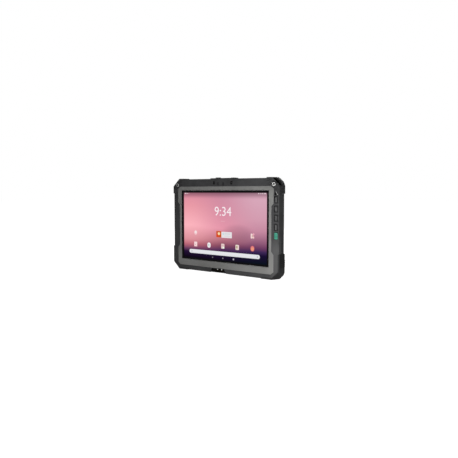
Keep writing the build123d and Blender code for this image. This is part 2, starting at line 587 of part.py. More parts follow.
with BuildPart() as rear_cover:
    with BuildSketch(at_y(SPLIT)):
        body_face()
        offset(amount=-0.1, kind=Kind.INTERSECTION)
    extrude(amount=-(COVER_BACK - SPLIT))
    # Well rounded along the top and bottom, nearly square along the sides.
    for axis, length in ((Axis.X, 2.2), (Axis.Z, 0.4)):
        rim = rear_cover.faces().sort_by(Axis.Y)[-1].edges().filter_by(axis)
        chamfer(rim.filter_by(lambda edge: edge.length > 60), length=length)
    with BuildSketch(at_y(SPLIT)):
        body_face()
        offset(amount=-2.9, kind=Kind.INTERSECTION)
    extrude(amount=-(COVER_INSIDE - SPLIT), mode=Mode.SUBTRACT)
    # Tabs that the strap posts screw into.
    for side in (-1, 1):
        with BuildSketch(at_y(SLOT_BACK + 0.8)):
            Polygon(*corner_points(CORNER_TAB, side, True), align=None)
            with Locations(screw_place(side)):
                Circle(POST_RADIUS + RUNNING, mode=Mode.SUBTRACT)
        extrude(amount=-(COVER_INSIDE - SLOT_BACK - 0.8))
    # Walls and floor of the two battery bays.
    for side in (-1, 1):
        with Locations((side * BAY_X, (COVER_INSIDE + BAY_FLOOR - 1) / 2, BAY_Z)):
            Box(BAY_WIDTH + 3, COVER_INSIDE - BAY_FLOOR + 1, BAY_HEIGHT + 3)
        with Locations((side * BAY_X, (COVER_BACK + BAY_FLOOR) / 2, BAY_Z)):
            Box(BAY_WIDTH, COVER_BACK - BAY_FLOOR, BAY_HEIGHT, mode=Mode.SUBTRACT)
    # Latch guides: a pad behind the window, the window and the tongue's channel.
    for side in (-1, 1):
        x = side * BAY_X
        block(x - 11, x + 11, 3.6, COVER_INSIDE, BAY_TOP + 1, BAY_TOP + 18)
        block(x - LATCH_HALF - 0.2, x + LATCH_HALF + 0.2, 4.8, COVER_BACK,
              WINDOW_LOW, WINDOW_LOW + LATCH_HEIGHT + LATCH_TRAVEL + 0.4, Mode.SUBTRACT)
        block(x - 5.2, x + 5.2, 4.8, 6.8, BAY_TOP - 1, WINDOW_LOW + 2, Mode.SUBTRACT)
    # Threaded insert bosses, screw bosses, camera, lamp and sound openings.
    with BuildSketch(at_y(2.4)):
        with Locations(STRAP_CENTRE):
            with GridLocations(2 * STRAP_X, STRAP_HIGH - STRAP_LOW, 2, 2):
                Circle(4.4)
    extrude(amount=-(COVER_INSIDE - 2.4))
    with BuildSketch(at_y(SPLIT)):
        with Locations(*COVER_SCREWS):
            Circle(SCREW_BOSS)
    extrude(amount=-(COVER_INSIDE - SPLIT))
    with BuildSketch(at_y(COVER_BACK)):
        with Locations(STRAP_CENTRE):
            with GridLocations(2 * STRAP_X, STRAP_HIGH - STRAP_LOW, 2, 2):
                Circle(2.8)
    extrude(amount=5.0, mode=Mode.SUBTRACT)
    with BuildSketch(at_y(COVER_BACK)):
        with Locations(*COVER_SCREWS):
            Circle(2.9)
    extrude(amount=2.2, mode=Mode.SUBTRACT)
    with BuildSketch(at_y(COVER_BACK)):
        with Locations(*COVER_SCREWS):
            Circle(1.4)
    extrude(amount=COVER_BACK - SPLIT, mode=Mode.SUBTRACT)
    with BuildSketch(at_y(COVER_BACK)):
        with Locations(CAMERA):
            Circle(6.2)
        with Locations(LAMP):
            Circle(2.7)
        with Locations((0, 13.5)):
            RectangleRounded(28.2, 12.2, 3)
    extrude(amount=COVER_BACK - COVER_INSIDE, mode=Mode.SUBTRACT)
    # Groove for the seal.
    with BuildSketch(at_y(SPLIT)):
        body_face()
        offset(amount=-1.1, kind=Kind.INTERSECTION)
    extrude(amount=-0.8, mode=Mode.SUBTRACT)
    with BuildSketch(at_y(SPLIT)):
        body_face()
        offset(amount=-2.1, kind=Kind.INTERSECTION)
        with BuildSketch(at_y(SPLIT), mode=Mode.SUBTRACT):
            body_face()
            offset(amount=-2.9, kind=Kind.INTERSECTION)
    extrude(amount=-0.8)
    with BuildSketch(at_y(SPLIT)):
        with Locations(*COVER_SCREWS):
            Circle(SCREW_BOSS)
            Circle(1.4, mode=Mode.SUBTRACT)
    extrude(amount=-0.8)
    # Port doors: a shallow recess, a deeper one round the knuckle, pin holes
    # and a thick wall behind with the sockets' openings.
    for side, (low, high) in DOORS:
        inner, outer = span(side, 122.0, 134.0)
        block(inner, outer, -0.2, 6.6, low - 3, high + 3)
        inner, outer = span(side, DOOR_FACE - DOOR_THICK - 0.2, 140.0)
        block(inner, outer, -0.4, DOOR_AXIS_Y, low, high, Mode.SUBTRACT)
        inner, outer = span(side, DOOR_FACE - 2 * KNUCKLE_RADIUS - 0.3, 140.0)
        block(inner, outer, DOOR_AXIS_Y - 1.4, DOOR_AXIS_Y + 1.3, low, high, Mode.SUBTRACT)
        with BuildSketch(Plane.XY.offset(low - 2.2)):
            with Locations((side * (DOOR_FACE - KNUCKLE_RADIUS), DOOR_AXIS_Y)):
                Circle(PIN_RADIUS + RUNNING)
        extrude(amount=high - low + 4.4, mode=Mode.SUBTRACT)
    for side, middle in ((1, RIGHT_SOCKET_Z), (-1, LEFT_SOCKET_Z)):
        inner, outer = span(side, 121.0, 134.4)
        block(inner, outer, 0.2, 3.4, middle - SOCKET_HALF, middle + SOCKET_HALF, Mode.SUBTRACT)
    with BuildSketch(Plane.YZ.offset(-126)):
        with Locations((1.4, AUDIO_Z)):
            Circle(1.6)
    extrude(amount=-10, mode=Mode.SUBTRACT)
save(rear_cover, "rear_cover")

with BuildPart() as rear_seal:
    with BuildSketch(at_y(SPLIT)):
        body_face()
        offset(amount=-1.1, kind=Kind.INTERSECTION)
        with BuildSketch(at_y(SPLIT), mode=Mode.SUBTRACT):
            body_face()
            offset(amount=-2.1, kind=Kind.INTERSECTION)
    extrude(amount=-0.7)
save(rear_seal, "rear_seal")

with BuildPart() as rear_cover_screws:
    with BuildSketch(at_y(COVER_BACK - 2.2)):
        with Locations(*COVER_SCREWS):
            Circle(2.6)
    extrude(amount=-1.6)
    with BuildSketch(at_y(COVER_BACK - 2.2)):
        with Locations(*COVER_SCREWS):
            Circle(1.25)
    extrude(amount=COVER_BACK - 2.2 + 4.6)
    with BuildSketch(at_y(COVER_BACK - 0.6)):
        with Locations(*COVER_SCREWS):
            RegularPolygon(radius=1.2, side_count=6)
    extrude(amount=1.1, mode=Mode.SUBTRACT)
save(rear_cover_screws, "rear_cover_screws")

with BuildPart() as strap_inserts:
    with BuildSketch(at_y(COVER_BACK - 0.2)):
        with Locations(STRAP_CENTRE):
            with GridLocations(2 * STRAP_X, STRAP_HIGH - STRAP_LOW, 2, 2):
                Circle(2.8)
                Circle(1.65, mode=Mode.SUBTRACT)
    extrude(amount=4.8)
save(strap_inserts, "strap_inserts")

with BuildPart() as rear_camera_window:
    with BuildSketch(at_y(COVER_BACK - 0.3)):
        with Locations(CAMERA):
            Circle(6.1)
    extrude(amount=1.0)
save(rear_camera_window, "rear_camera_window")

with BuildPart() as rear_camera_module:
    with BuildSketch(at_y(COVER_BACK - 1.3)):
        with Locations(CAMERA):
            Circle(3.4)
    extrude(amount=2.0)
    block(CAMERA[0] - 4.4, CAMERA[0] + 4.4, 2.2, COVER_BACK - 3.2, CAMERA[1] - 4.4, CAMERA[1] + 4.4)
save(rear_camera_module, "rear_camera_module")

with BuildPart() as rear_lamp:
    with BuildSketch(at_y(COVER_BACK - 0.3)):
        with Locations(LAMP):
            Circle(2.6)
    extrude(amount=1.4)
save(rear_lamp, "rear_lamp")

with BuildPart() as speaker_grille:
    with BuildSketch(at_y(COVER_BACK - 0.3)):
        with Locations((0, 13.5)):
            RectangleRounded(28, 12, 2.9)
            with GridLocations(4, 0, 6, 1):
                SlotOverall(8, 1.6, rotation=90, mode=Mode.SUBTRACT)
    extrude(amount=1.2)
save(speaker_grille, "speaker_grille")

# ---- batteries and latches --------------------------------------------------
SIDES = {-1: "left", 1: "right"}
for side, word in SIDES.items():
    x = side * BAY_X
    with BuildPart() as battery:
        block(x - BAY_WIDTH / 2 + FIT, x + BAY_WIDTH / 2 - FIT, BAY_FLOOR + 0.4, COVER_BACK - 0.1,
              BAY_Z - BAY_HEIGHT / 2 + FIT, BAY_TOP - FIT)
        fillet(battery.edges().filter_by(Axis.Y), radius=1.5)
        chamfer(battery.faces().sort_by(Axis.Y)[-1].edges(), length=0.5)
        # Notch that the latch's tongue slides into, in front of which the case keeps a ledge.
        block(x - LATCH_NOTCH_HALF, x + LATCH_NOTCH_HALF, LATCH_LEDGE_Y, COVER_BACK,
              BAY_TOP - LATCH_NOTCH_DEEP, BAY_TOP, Mode.SUBTRACT)
        # Finger scoop at the lower edge.
        block(x - 10, x + 10, 6.0, COVER_BACK, BAY_Z - BAY_HEIGHT / 2, BAY_Z - BAY_HEIGHT / 2 + 9,
              Mode.SUBTRACT)
    save(battery, f"battery_{word}")
    with BuildPart() as latch:
        block(x - LATCH_HALF, x + LATCH_HALF, 4.9, COVER_BACK - 0.1,
              LATCH_REST, LATCH_REST + LATCH_HEIGHT)
        for step in range(3):
            block(x - 7, x + 7, COVER_BACK - 0.7, COVER_BACK,
                  LATCH_REST + 1.6 + 2 * step, LATCH_REST + 2.4 + 2 * step, Mode.SUBTRACT)
        block(x - 5, x + 5, 5.0, 6.6, BAY_TOP + 0.2, LATCH_REST)
    save(latch, f"battery_latch_{word}")

with BuildPart() as battery_terminals:
    for side in SIDES:
        for column in range(5):
            x = side * BAY_X + (column - 2) * 4
            block(x - 1, x + 1, BAY_FLOOR, BAY_FLOOR + 0.3, BAY_TOP - 14, BAY_TOP - 6)
save(battery_terminals, "battery_terminals")

# ---- ports ------------------------------------------------------------------
for side, (low, high) in DOORS:
    with BuildPart() as door:
        inner, outer = span(side, DOOR_FACE - DOOR_THICK, DOOR_FACE)
        block(inner, outer, -0.2, DOOR_AXIS_Y, low + 0.2, high - 0.2)
        with BuildSketch(Plane.XY.offset(low + 0.2)):
            with Locations((side * (DOOR_FACE - KNUCKLE_RADIUS), DOOR_AXIS_Y)):
                Circle(KNUCKLE_RADIUS)
        extrude(amount=high - low - 0.4)
        with BuildSketch(Plane.XY.offset(low + 0.2)):
            with Locations((side * (DOOR_FACE - KNUCKLE_RADIUS), DOOR_AXIS_Y)):
                Circle(PIN_RADIUS + RUNNING)
        extrude(amount=high - low - 0.4, mode=Mode.SUBTRACT)
        # Finger notch at the free edge.
        inner, outer = span(side, DOOR_FACE - 0.6, DOOR_FACE)
        block(inner, outer, -0.2, 0.8, high - 4.2, high - 0.2, Mode.SUBTRACT)
    save(door, f"port_door_{SIDES[side]}")

with BuildPart() as port_door_pins:
    for side, (low, high) in DOORS:
        with BuildSketch(Plane.XY.offset(low - 2.0)):
            with Locations((side * (DOOR_FACE - KNUCKLE_RADIUS), DOOR_AXIS_Y)):
                Circle(PIN_RADIUS)
        extrude(amount=high - low + 4.0)
save(port_door_pins, "port_door_pins")


def usb_socket(outer_x, middle_z, label):
    """Metal shell of a data socket with its tongue; it opens towards the side."""
    side = 1 if outer_x > 0 else -1
    with BuildPart() as socket:
        with BuildSketch(Plane.YZ.offset(outer_x)):
            with Locations((1.8, middle_z)):
                RectangleRounded(3.1, 8.9, 1.4)
                RectangleRounded(2.5, 8.3, 1.2, mode=Mode.SUBTRACT)
        extrude(amount=-side * 7.0)
        with BuildSketch(Plane.YZ.offset(outer_x - side * 1.0)):
            with Locations((1.8, middle_z)):
                Rectangle(0.8, 6.6)
        extrude(amount=-side * 6.0)
        with BuildSketch(Plane.YZ.offset(outer_x - side * 6.0)):
            with Locations((1.8, middle_z)):
                RectangleRounded(3.1, 8.9, 1.4)
        extrude(amount=-side * 1.0)
    save(socket, label)


usb_socket(134.0, RIGHT_SOCKET_Z, "usb_socket_right")
usb_socket(-134.0, LEFT_SOCKET_Z, "usb_socket_left")

with BuildPart() as audio_socket:
    with BuildSketch(Plane.YZ.offset(-134.0)):
        with Locations((1.4, AUDIO_Z)):
            Circle(1.6)
            Circle(1.2, mode=Mode.SUBTRACT)
    extrude(amount=7.0)
save(audio_socket, "audio_socket")
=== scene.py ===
"""Rugged ten-inch field tablet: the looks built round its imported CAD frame.

Lengths are in metres, or in millimetres where the text says so.  X runs to the
right across the screen, the screen faces -Y and Z is up.  Places come from the
CAD nodes' own boxes.
"""
import json
import math

import bmesh
import bpy
import numpy as np
from bpy.props import FloatProperty, FloatVectorProperty, IntProperty, PointerProperty
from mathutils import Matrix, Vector

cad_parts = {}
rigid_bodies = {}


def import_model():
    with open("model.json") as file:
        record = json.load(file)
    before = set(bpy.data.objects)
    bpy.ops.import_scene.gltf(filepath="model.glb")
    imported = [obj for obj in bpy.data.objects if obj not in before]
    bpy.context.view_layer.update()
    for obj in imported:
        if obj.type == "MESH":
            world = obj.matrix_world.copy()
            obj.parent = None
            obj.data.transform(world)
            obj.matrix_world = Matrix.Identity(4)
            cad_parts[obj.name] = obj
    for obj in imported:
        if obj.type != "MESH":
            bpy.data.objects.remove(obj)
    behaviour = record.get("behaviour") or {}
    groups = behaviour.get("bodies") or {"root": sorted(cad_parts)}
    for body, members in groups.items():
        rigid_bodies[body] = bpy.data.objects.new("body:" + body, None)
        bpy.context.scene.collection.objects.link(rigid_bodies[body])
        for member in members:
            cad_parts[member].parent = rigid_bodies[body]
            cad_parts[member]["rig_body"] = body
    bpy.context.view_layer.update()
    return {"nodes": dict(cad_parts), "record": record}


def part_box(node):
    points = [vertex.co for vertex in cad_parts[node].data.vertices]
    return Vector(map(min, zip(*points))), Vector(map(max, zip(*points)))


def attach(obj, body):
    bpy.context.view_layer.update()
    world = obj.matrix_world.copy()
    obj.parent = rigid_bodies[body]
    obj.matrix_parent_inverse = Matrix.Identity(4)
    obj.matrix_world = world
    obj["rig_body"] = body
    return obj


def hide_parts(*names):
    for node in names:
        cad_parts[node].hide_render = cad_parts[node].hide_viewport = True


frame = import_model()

bl_info = {
    "name": "Rugged Field Tablet",
    "version": (1, 0, 0),
    "blender": (4, 5, 0),
    "location": "View3D > Sidebar > Tablet",
    "description": "Finishes and detail pieces for a rugged ten-inch field tablet",
    "category": "Add Mesh",
}

MM = 0.001
SLOT_OF = {part["node"]: part["material_slot"] for part in frame["record"]["subparts"]}
ROOT = "tablet"
FLANGE = 0.9  # thickness of a key's flange, in millimetres
LOBES, LOBE_DEPTH = 6, 0.12  # the star-shaped sockets
SHARP_DEGREES = 28  # edges of CAD meshes that turn more than this are rounded
FLOOR_GAP = 0.05 * MM  # the floor lies this far under the tablet
LIGHTS = [  # name, place, target, size and power
    ("front light", (0.26, -0.38, 0.02), (0.1, 0, 0.06), (0.2, 0.2), 3.75),
    ("left light", (-0.75, -0.9, 0.5), (0, 0, 0.1), (0.7, 0.9), 0.5),
    ("top light", (0.25, 0.15, 1.0), (0, 0, 0.1), (0.9, 0.6), 4.4),
    ("back light", (-0.3, 1.1, 0.6), (0, 0, 0.1), (0.9, 0.7), 11.0),
]


def linear(code):
    """A six-digit display colour as linear red, green, blue and alpha."""
    shares = np.array([int(code[i:i + 2], 16) for i in (0, 2, 4)]) / 255
    low = shares / 12.92
    high = ((shares + 0.055) / 1.055) ** 2.4
    return (*np.where(shares <= 0.04045, low, high).tolist(), 1.0)


# ---- shader maths

class Wire:
    """A node's output socket.  Arithmetic on it adds Math nodes."""

    def __init__(self, paint, socket):
        self.paint = paint
        self.socket = socket

    def math(self, operation, *values):
        return self.paint.node("ShaderNodeMath", {"operation": operation}, values)

    def __add__(self, other):
        return self.math("ADD", self, other)

    def __sub__(self, other):
        return self.math("SUBTRACT", self, other)

    def __rsub__(self, other):
        return self.math("SUBTRACT", other, self)

    def __mul__(self, other):
        return self.math("MULTIPLY", self, other)

    def __truediv__(self, other):
        return self.math("DIVIDE", self, other)

    __radd__ = __add__
    __rmul__ = __mul__


class Paint:
    """A material under construction, which ends in one Principled shader."""

    def __init__(self, name, **constants):
        self.material = bpy.data.materials.new(name)
        self.material.use_nodes = True
        self.tree = self.material.node_tree
        self.tree.nodes.clear()
        self.shader = self.tree.nodes.new("ShaderNodeBsdfPrincipled")
        output = self.tree.nodes.new("ShaderNodeOutputMaterial")
        self.tree.links.new(self.shader.outputs[0], output.inputs[0])
        for socket, value in constants.items():
            self.shader.inputs[socket.replace("_", " ")].default_value = value
        self.at = self.node("ShaderNodeTexCoord", output="Object")

    def node(self, kind, settings=None, inputs=(), output=0):
        """Adds a node: its settings first, then the values or links of its sockets."""
        made = self.tree.nodes.new(kind)
        for name, value in (settings or {}).items():
            if name == "stops":
                for spot, colour in value[1:-1]:
                    made.color_ramp.elements.new(spot).color = colour
                for end in (0, -1):
                    made.color_ramp.elements[end].position = value[end][0]
                    made.color_ramp.elements[end].color = value[end][1]
            else:
                setattr(made, name, value)
        pairs = inputs.items() if isinstance(inputs, dict) else enumerate(inputs)
        for key, value in pairs:
            if isinstance(value, Wire):
                self.tree.links.new(value.socket, made.inputs[key])
            else:
                made.inputs[key].default_value = value
        return Wire(self, made.outputs[output])

    def noise(self, scale, detail=2.0, at=None):
        """Soft random values from 0 to 1, with `scale` lumps to the metre."""
        inputs = {"Vector": at or self.at, "Scale": scale, "Detail": detail}
        return self.node("ShaderNodeTexNoise", None, inputs)

    def cells(self, scale, feature="F1"):
        """Distance to the nearest of scattered points, `scale` to the metre."""
        inputs = {"Vector": self.at, "Scale": scale}
        return self.node("ShaderNodeTexVoronoi", {"feature": feature}, inputs)

    def smooth(self, value, low, high, start=0.0, end=1.0):
        """An S-shaped step from `start` to `end` while value goes from low to high."""
        settings = {"interpolation_type": "SMOOTHSTEP"}
        return self.node("ShaderNodeMapRange", settings, [value, low, high, start, end])

    def mix(self, share, first, second):
        """Two colours mixed by a share."""
        inputs = {0: share, 6: first, 7: second}
        return self.node("ShaderNodeMix", {"data_type": "RGBA"}, inputs, 2)

    def ramp(self, value, stops):
        """A colour looked up along a strip of places and display colours."""
        stops = [(spot, linear(code)) for spot, code in stops]
        return self.node("ShaderNodeValToRGB", {"stops": stops}, [value])

    def axes(self):
        """The three coordinates as separate wires."""
        first = self.node("ShaderNodeSeparateXYZ", None, [self.at])
        outputs = first.socket.node.outputs
        return [Wire(self, outputs[i]) for i in range(3)]

    def edges(self, radius, gain):
        """High where a rounded normal leaves the true one, which is along edges."""
        round_normal = self.node("ShaderNodeBevel", {"samples": 6}, {"Radius": radius})
        true_normal = self.node("ShaderNodeNewGeometry", output="True Normal")
        inputs = [round_normal, true_normal]
        agree = self.node("ShaderNodeVectorMath", {"operation": "DOT_PRODUCT"}, inputs, "Value")
        return self.smooth((1 - agree) * gain, 0.05, 1.0)

    def lump(self, height, distance, strength=0.5):
        """A bumped normal from heights between 0 and 1 and a depth in metres."""
        inputs = {"Height": height, "Distance": distance, "Strength": strength}
        return self.node("ShaderNodeBump", None, inputs)

    def feed(self, **links):
        """Links or sets the shader's own sockets and returns the material."""
        for socket, value in links.items():
            target = self.shader.inputs[socket.replace("_", " ")]
            if isinstance(value, Wire):
                self.tree.links.new(value.socket, target)
            else:
                target.default_value = value
        return self.material


# ---- finishes

def moulded(name, dark, light, rough, skin, depth, wear=0.25, level=0.35, patch=None):
    """Moulded plastic: cloudy colour, fine flecks, a stippled skin, paler edges.

    skin is the number of stipples to the metre and depth how deep they are.
    patch, where given, takes the paint and the colour and returns the colour with
    painted light, painted shade or a darker band added.
    """
    paint = Paint(name, Specular_IOR_Level=level)
    cloud = paint.noise(38, 4)
    fleck = paint.noise(1500, 2)
    stipple = paint.cells(skin, "SMOOTH_F1")
    share = paint.smooth(cloud * 0.65 + fleck * 0.35, 0.36, 0.64)
    colour = paint.mix(share, dark, light)
    pale = tuple(min(1.0, 1.7 * c + 0.015) for c in light[:3]) + (1.0,)
    colour = paint.mix(paint.edges(0.0006, 2.2) * paint.smooth(fleck, 0.2, 0.7) * wear, colour, pale)
    if patch is not None:
        colour = patch(paint, colour)
    roughness = rough + (cloud - 0.5) * 0.16 + (stipple - 0.4) * 0.08
    height = stipple * 0.7 + fleck * 0.3
    return paint.feed(Base_Color=colour, Roughness=roughness, Normal=paint.lump(height, depth))


def frame_painted_light(paint, colour):
    """Paler plastic low on the right of the frame, which is painted light."""
    x, _, z = paint.axes()
    wander = (paint.noise(45, 3) - 0.5) * 0.02
    # painted light: the frame is lightened low on the right
    lit_patch = paint.smooth(x, 0.112, 0.128) * paint.smooth(z + wander, 0.1, 0.05)
    return paint.mix(lit_patch * 0.24, colour, linear("707070"))


def darkened_rubber(paint, colour):
    """Darker in the strap slots, which is painted shade, and in a band round the ribs on the sides of
    the lower bumpers.
    """
    x, y, z = paint.axes()
    out = x.math("ABSOLUTE", x)
    wander = (paint.noise(240, 3) - 0.5) * 0.003
    # painted shade: the rubber is darkened inside the strap slots
    slot = paint.smooth(y, -0.0077, -0.0074) * paint.smooth(y, 0.0029, 0.0026)
    slot = slot * paint.smooth(z, 0.1765, 0.179) * paint.smooth(out, 0.118, 0.119)
    ribs = paint.smooth(out, 0.1372, 0.1377) * paint.smooth(z + wander, 0.021, 0.024)
    ribs = ribs * paint.smooth(z + wander, 0.0505, 0.0475) * paint.smooth(y, -0.0085, -0.006)
    darkening = slot.math("MAXIMUM", slot * 0.92, ribs * 0.75)
    return paint.mix(darkening, colour, linear("070707"))


def painted_metal(name, dark, light):
    """Grey painted metal: fine flake, faint clouds and a satin clear coat."""
    paint = Paint(name, Specular_IOR_Level=0.45, Coat_Roughness=0.35)
    cloud = paint.noise(26, 5)
    flake = paint.cells(2600)
    share = paint.smooth(cloud * 0.7 + flake * 0.3, 0.3, 0.66)
    colour = paint.mix(share, dark, light)
    pale = tuple(min(1.0, 1.5 * c) for c in light[:3]) + (1.0,)
    colour = paint.mix(paint.edges(0.0005, 2.5) * 0.35, colour, pale)
    return paint.feed(Base_Color=colour, Metallic=0.25 + flake * 0.25,
                      Roughness=0.5 + (cloud - 0.5) * 0.14, Coat_Weight=0.08 + cloud * 0.08,
                      Normal=paint.lump(flake, 0.00002, 0.35))


def metal(name, colour, rough, streak, stain):
    """Bare metal: a brushed or blasted grain, stretched along one axis, and stains."""
    paint = Paint(name)
    inputs = {"Vector": paint.at, "Scale": streak}
    stretched = paint.node("ShaderNodeMapping", None, inputs)
    line = paint.noise(900, 3, stretched)
    cloud = paint.noise(60, 3)
    darker = tuple(c * (1 - stain * 2) for c in colour[:3]) + (1.0,)
    tone = paint.mix(paint.smooth(line * 0.6 + cloud * 0.4, 0.3, 0.7), darker, colour)
    return paint.feed(Base_Color=tone, Metallic=0.9 + cloud * 0.1,
                      Roughness=rough + (line - 0.5) * 0.22, Normal=paint.lump(line, 0.00004, 0.4))


def ring_nickel(name):
    """Satin nickel, half metal and half pale haze, with turning marks and pits.

    It is painted darker on the left of the tablet, as painted shade for the left ring.
    """
    paint = Paint(name, Metallic=0.45)
    line = paint.noise(700, 3)
    pit = paint.cells(900)
    tone = paint.mix(paint.smooth(line, 0.3, 0.7), linear("E6E6E4"), linear("FBFBFA"))
    x, _, _ = paint.axes()
    # painted shade: the ring on the left of the tablet is darkened
    tone = paint.mix(paint.smooth(x, -0.05, -0.1) * 0.8, tone, linear("9A9A98"))
    return paint.feed(Base_Color=tone, Roughness=0.42 + (line - 0.5) * 0.2,
                      Normal=paint.lump(pit, 0.00003, 0.3))


def glossy(name, dark, light, rough, level):
    """Polished glass or clear plastic over a dark ground, with faint smears."""
    paint = Paint(name, Specular_IOR_Level=level)
    smear = paint.noise(70, 4)
    dust = paint.noise(2400, 1)
    colour = paint.mix(paint.smooth(smear, 0.35, 0.7), dark, light)
    roughness = rough + paint.smooth(smear, 0.45, 0.75) * 0.07 + paint.smooth(dust, 0.7, 0.8) * 0.15
    return paint.feed(Base_Color=colour, Roughness=roughness)


def circuit(name):
    """Solder-masked board: a green ground with paler tracks on a right-angled grid."""
    paint = Paint(name, Specular_IOR_Level=0.5)
    x, _, z = paint.axes()
    wander = paint.noise(120, 1)
    across = (x * 900 + paint.smooth(wander, 0.45, 0.55) * 1.6).math("PINGPONG", x * 900 + wander, 1)
    along = z.math("PINGPONG", z * 700 + paint.smooth(wander, 0.4, 0.6), 1)
    track = paint.smooth(across.math("MAXIMUM", across, along), 0.8, 0.9)
    colour = paint.mix(track, linear("14402C"), linear("2C6B48"))
    return paint.feed(Base_Color=colour, Roughness=0.35 + wander * 0.2,
                      Normal=paint.lump(track, 0.00004))


UNLIT = {"Base_Color": (0, 0, 0, 1), "Specular_IOR_Level": 0.0, "IOR": 1.0, "Roughness": 0.4,
         "Emission_Strength": 1.0}
SKY_STRIPS = [  # the left, right and middle of the sky, from the lower edge up
    ((0.0, "0E0713"), (0.095, "241236"), (0.135, "6B3D60"), (0.205, "BF6A79"), (0.28, "DE929C"),
     (0.50, "FCB4BE"), (0.80, "EA9BA7"), (1.0, "DD8DA1")),
    ((0.0, "09121C"), (0.12, "1A0F33"), (0.17, "3D2856"), (0.23, "723F64"), (0.32, "9B6480"),
     (0.46, "C68AA1"), (0.62, "D39CB0"), (1.0, "DAACBE")),
    ((0.0, "110A1A"), (0.11, "22123A"), (0.16, "55315C"), (0.22, "84495F"), (0.31, "BC7584"),
     (0.47, "E697AB"), (0.70, "D88FA4"), (1.0, "CC8CA3")),
]


def lit_sky(name, half_x, half_z, centre_z):
    """A dawn sky: three strips of colour up the screen, blended from left to right.

    The strips are looked up at the height over the screen's lower edge, bent a
    little by soft noise, so the haze lies unevenly.  A faint cloud, a shade along
    the top and a dark rim at the top and left, a painted shadow of the bezel's
    edge, are laid over them.
    """
    paint = Paint(name, **UNLIT)
    x, _, z = paint.axes()
    side = x / (2 * half_x) + 0.5
    haze = (paint.noise(9, 2) - 0.5) * 0.05 + (paint.noise(30, 2) - 0.5) * 0.012
    height = (z - (centre_z - half_z)) / (2 * half_z)
    bent = height + haze * paint.smooth(height, 0.02, 0.3)
    left, right, middle = (paint.ramp(bent, stops) for stops in SKY_STRIPS)
    first = paint.mix(paint.smooth(side, 0.05, 0.55), left, middle)
    sky = paint.mix(paint.smooth(side, 0.42, 0.95), first, right)
    sky = paint.mix(paint.smooth(height, 0.895, 0.985) * 0.62, sky, linear("6A4453"))
    # painted shadow: a near-black rim along the screen's top and left edges
    rim = paint.smooth(height, 0.984, 0.998)
    rim = rim.math("MAXIMUM", rim, paint.smooth(side, 0.0065, 0.0015))
    across = (x - 0.038) / 0.036
    along = (z - centre_z + 0.012) / 0.016
    cloud = paint.smooth(across * across + along * along, 1.6, 0.0)
    sky = paint.mix(cloud * 0.3, sky, linear("7A5468"))
    sky = paint.mix(rim * 0.8, sky, (0.001, 0.001, 0.001, 1))
    return paint.feed(Emission_Color=sky)


def glowing_marks(name):
    """Screen marks, which glow in the colour stored on their corners."""
    paint = Paint(name, **UNLIT)
    tint = paint.node("ShaderNodeAttribute", {"attribute_name": "tint"})
    soft = paint.smooth(paint.noise(600, 2), 0.2, 0.8)
    return paint.feed(Emission_Color=paint.mix(soft * 0.06, tint, linear("6B5A66")))


def power_tint(name, base, bright, centre, reach):
    """Green key rubber, paler towards the two ends of the key."""
    paint = Paint(name, Specular_IOR_Level=0.4)
    _, _, z = paint.axes()
    away = (z - centre).math("ABSOLUTE", z - centre) / reach
    speck = paint.noise(1300, 3)
    colour = paint.mix(paint.smooth(away + (speck - 0.5) * 0.4, 0.1, 0.9), base, bright)
    return paint.feed(Base_Color=colour, Roughness=0.45 + speck * 0.15,
                      Normal=paint.lump(paint.cells(1700), 0.00004))


def key_tint(name, tones, front):
    """Key plastic in three tones: a dark rim, a grey cap and a pale ridge in front.

    front is the depth of the ridge; the cap's tone starts 0.8 mm behind it and
    the ridge's 0.22 mm behind it.  The dark rim is painted shade deep in the key's pocket.
    """
    paint = Paint(name, Specular_IOR_Level=0.3)
    _, y, _ = paint.axes()
    speck = paint.noise(1600, 3)
    depth = y - front + (speck - 0.5) * 0.00008
    # painted shade: the plastic is darker deep in the key's pocket
    colour = paint.mix(paint.smooth(depth, 0.0008, 0.00055), tones[0], tones[1])
    colour = paint.mix(paint.smooth(depth, 0.00022, 0.0001), colour, tones[2])
    return paint.feed(Base_Color=colour, Roughness=0.5 + speck * 0.15,
                      Normal=paint.lump(paint.cells(1900), 0.00003))


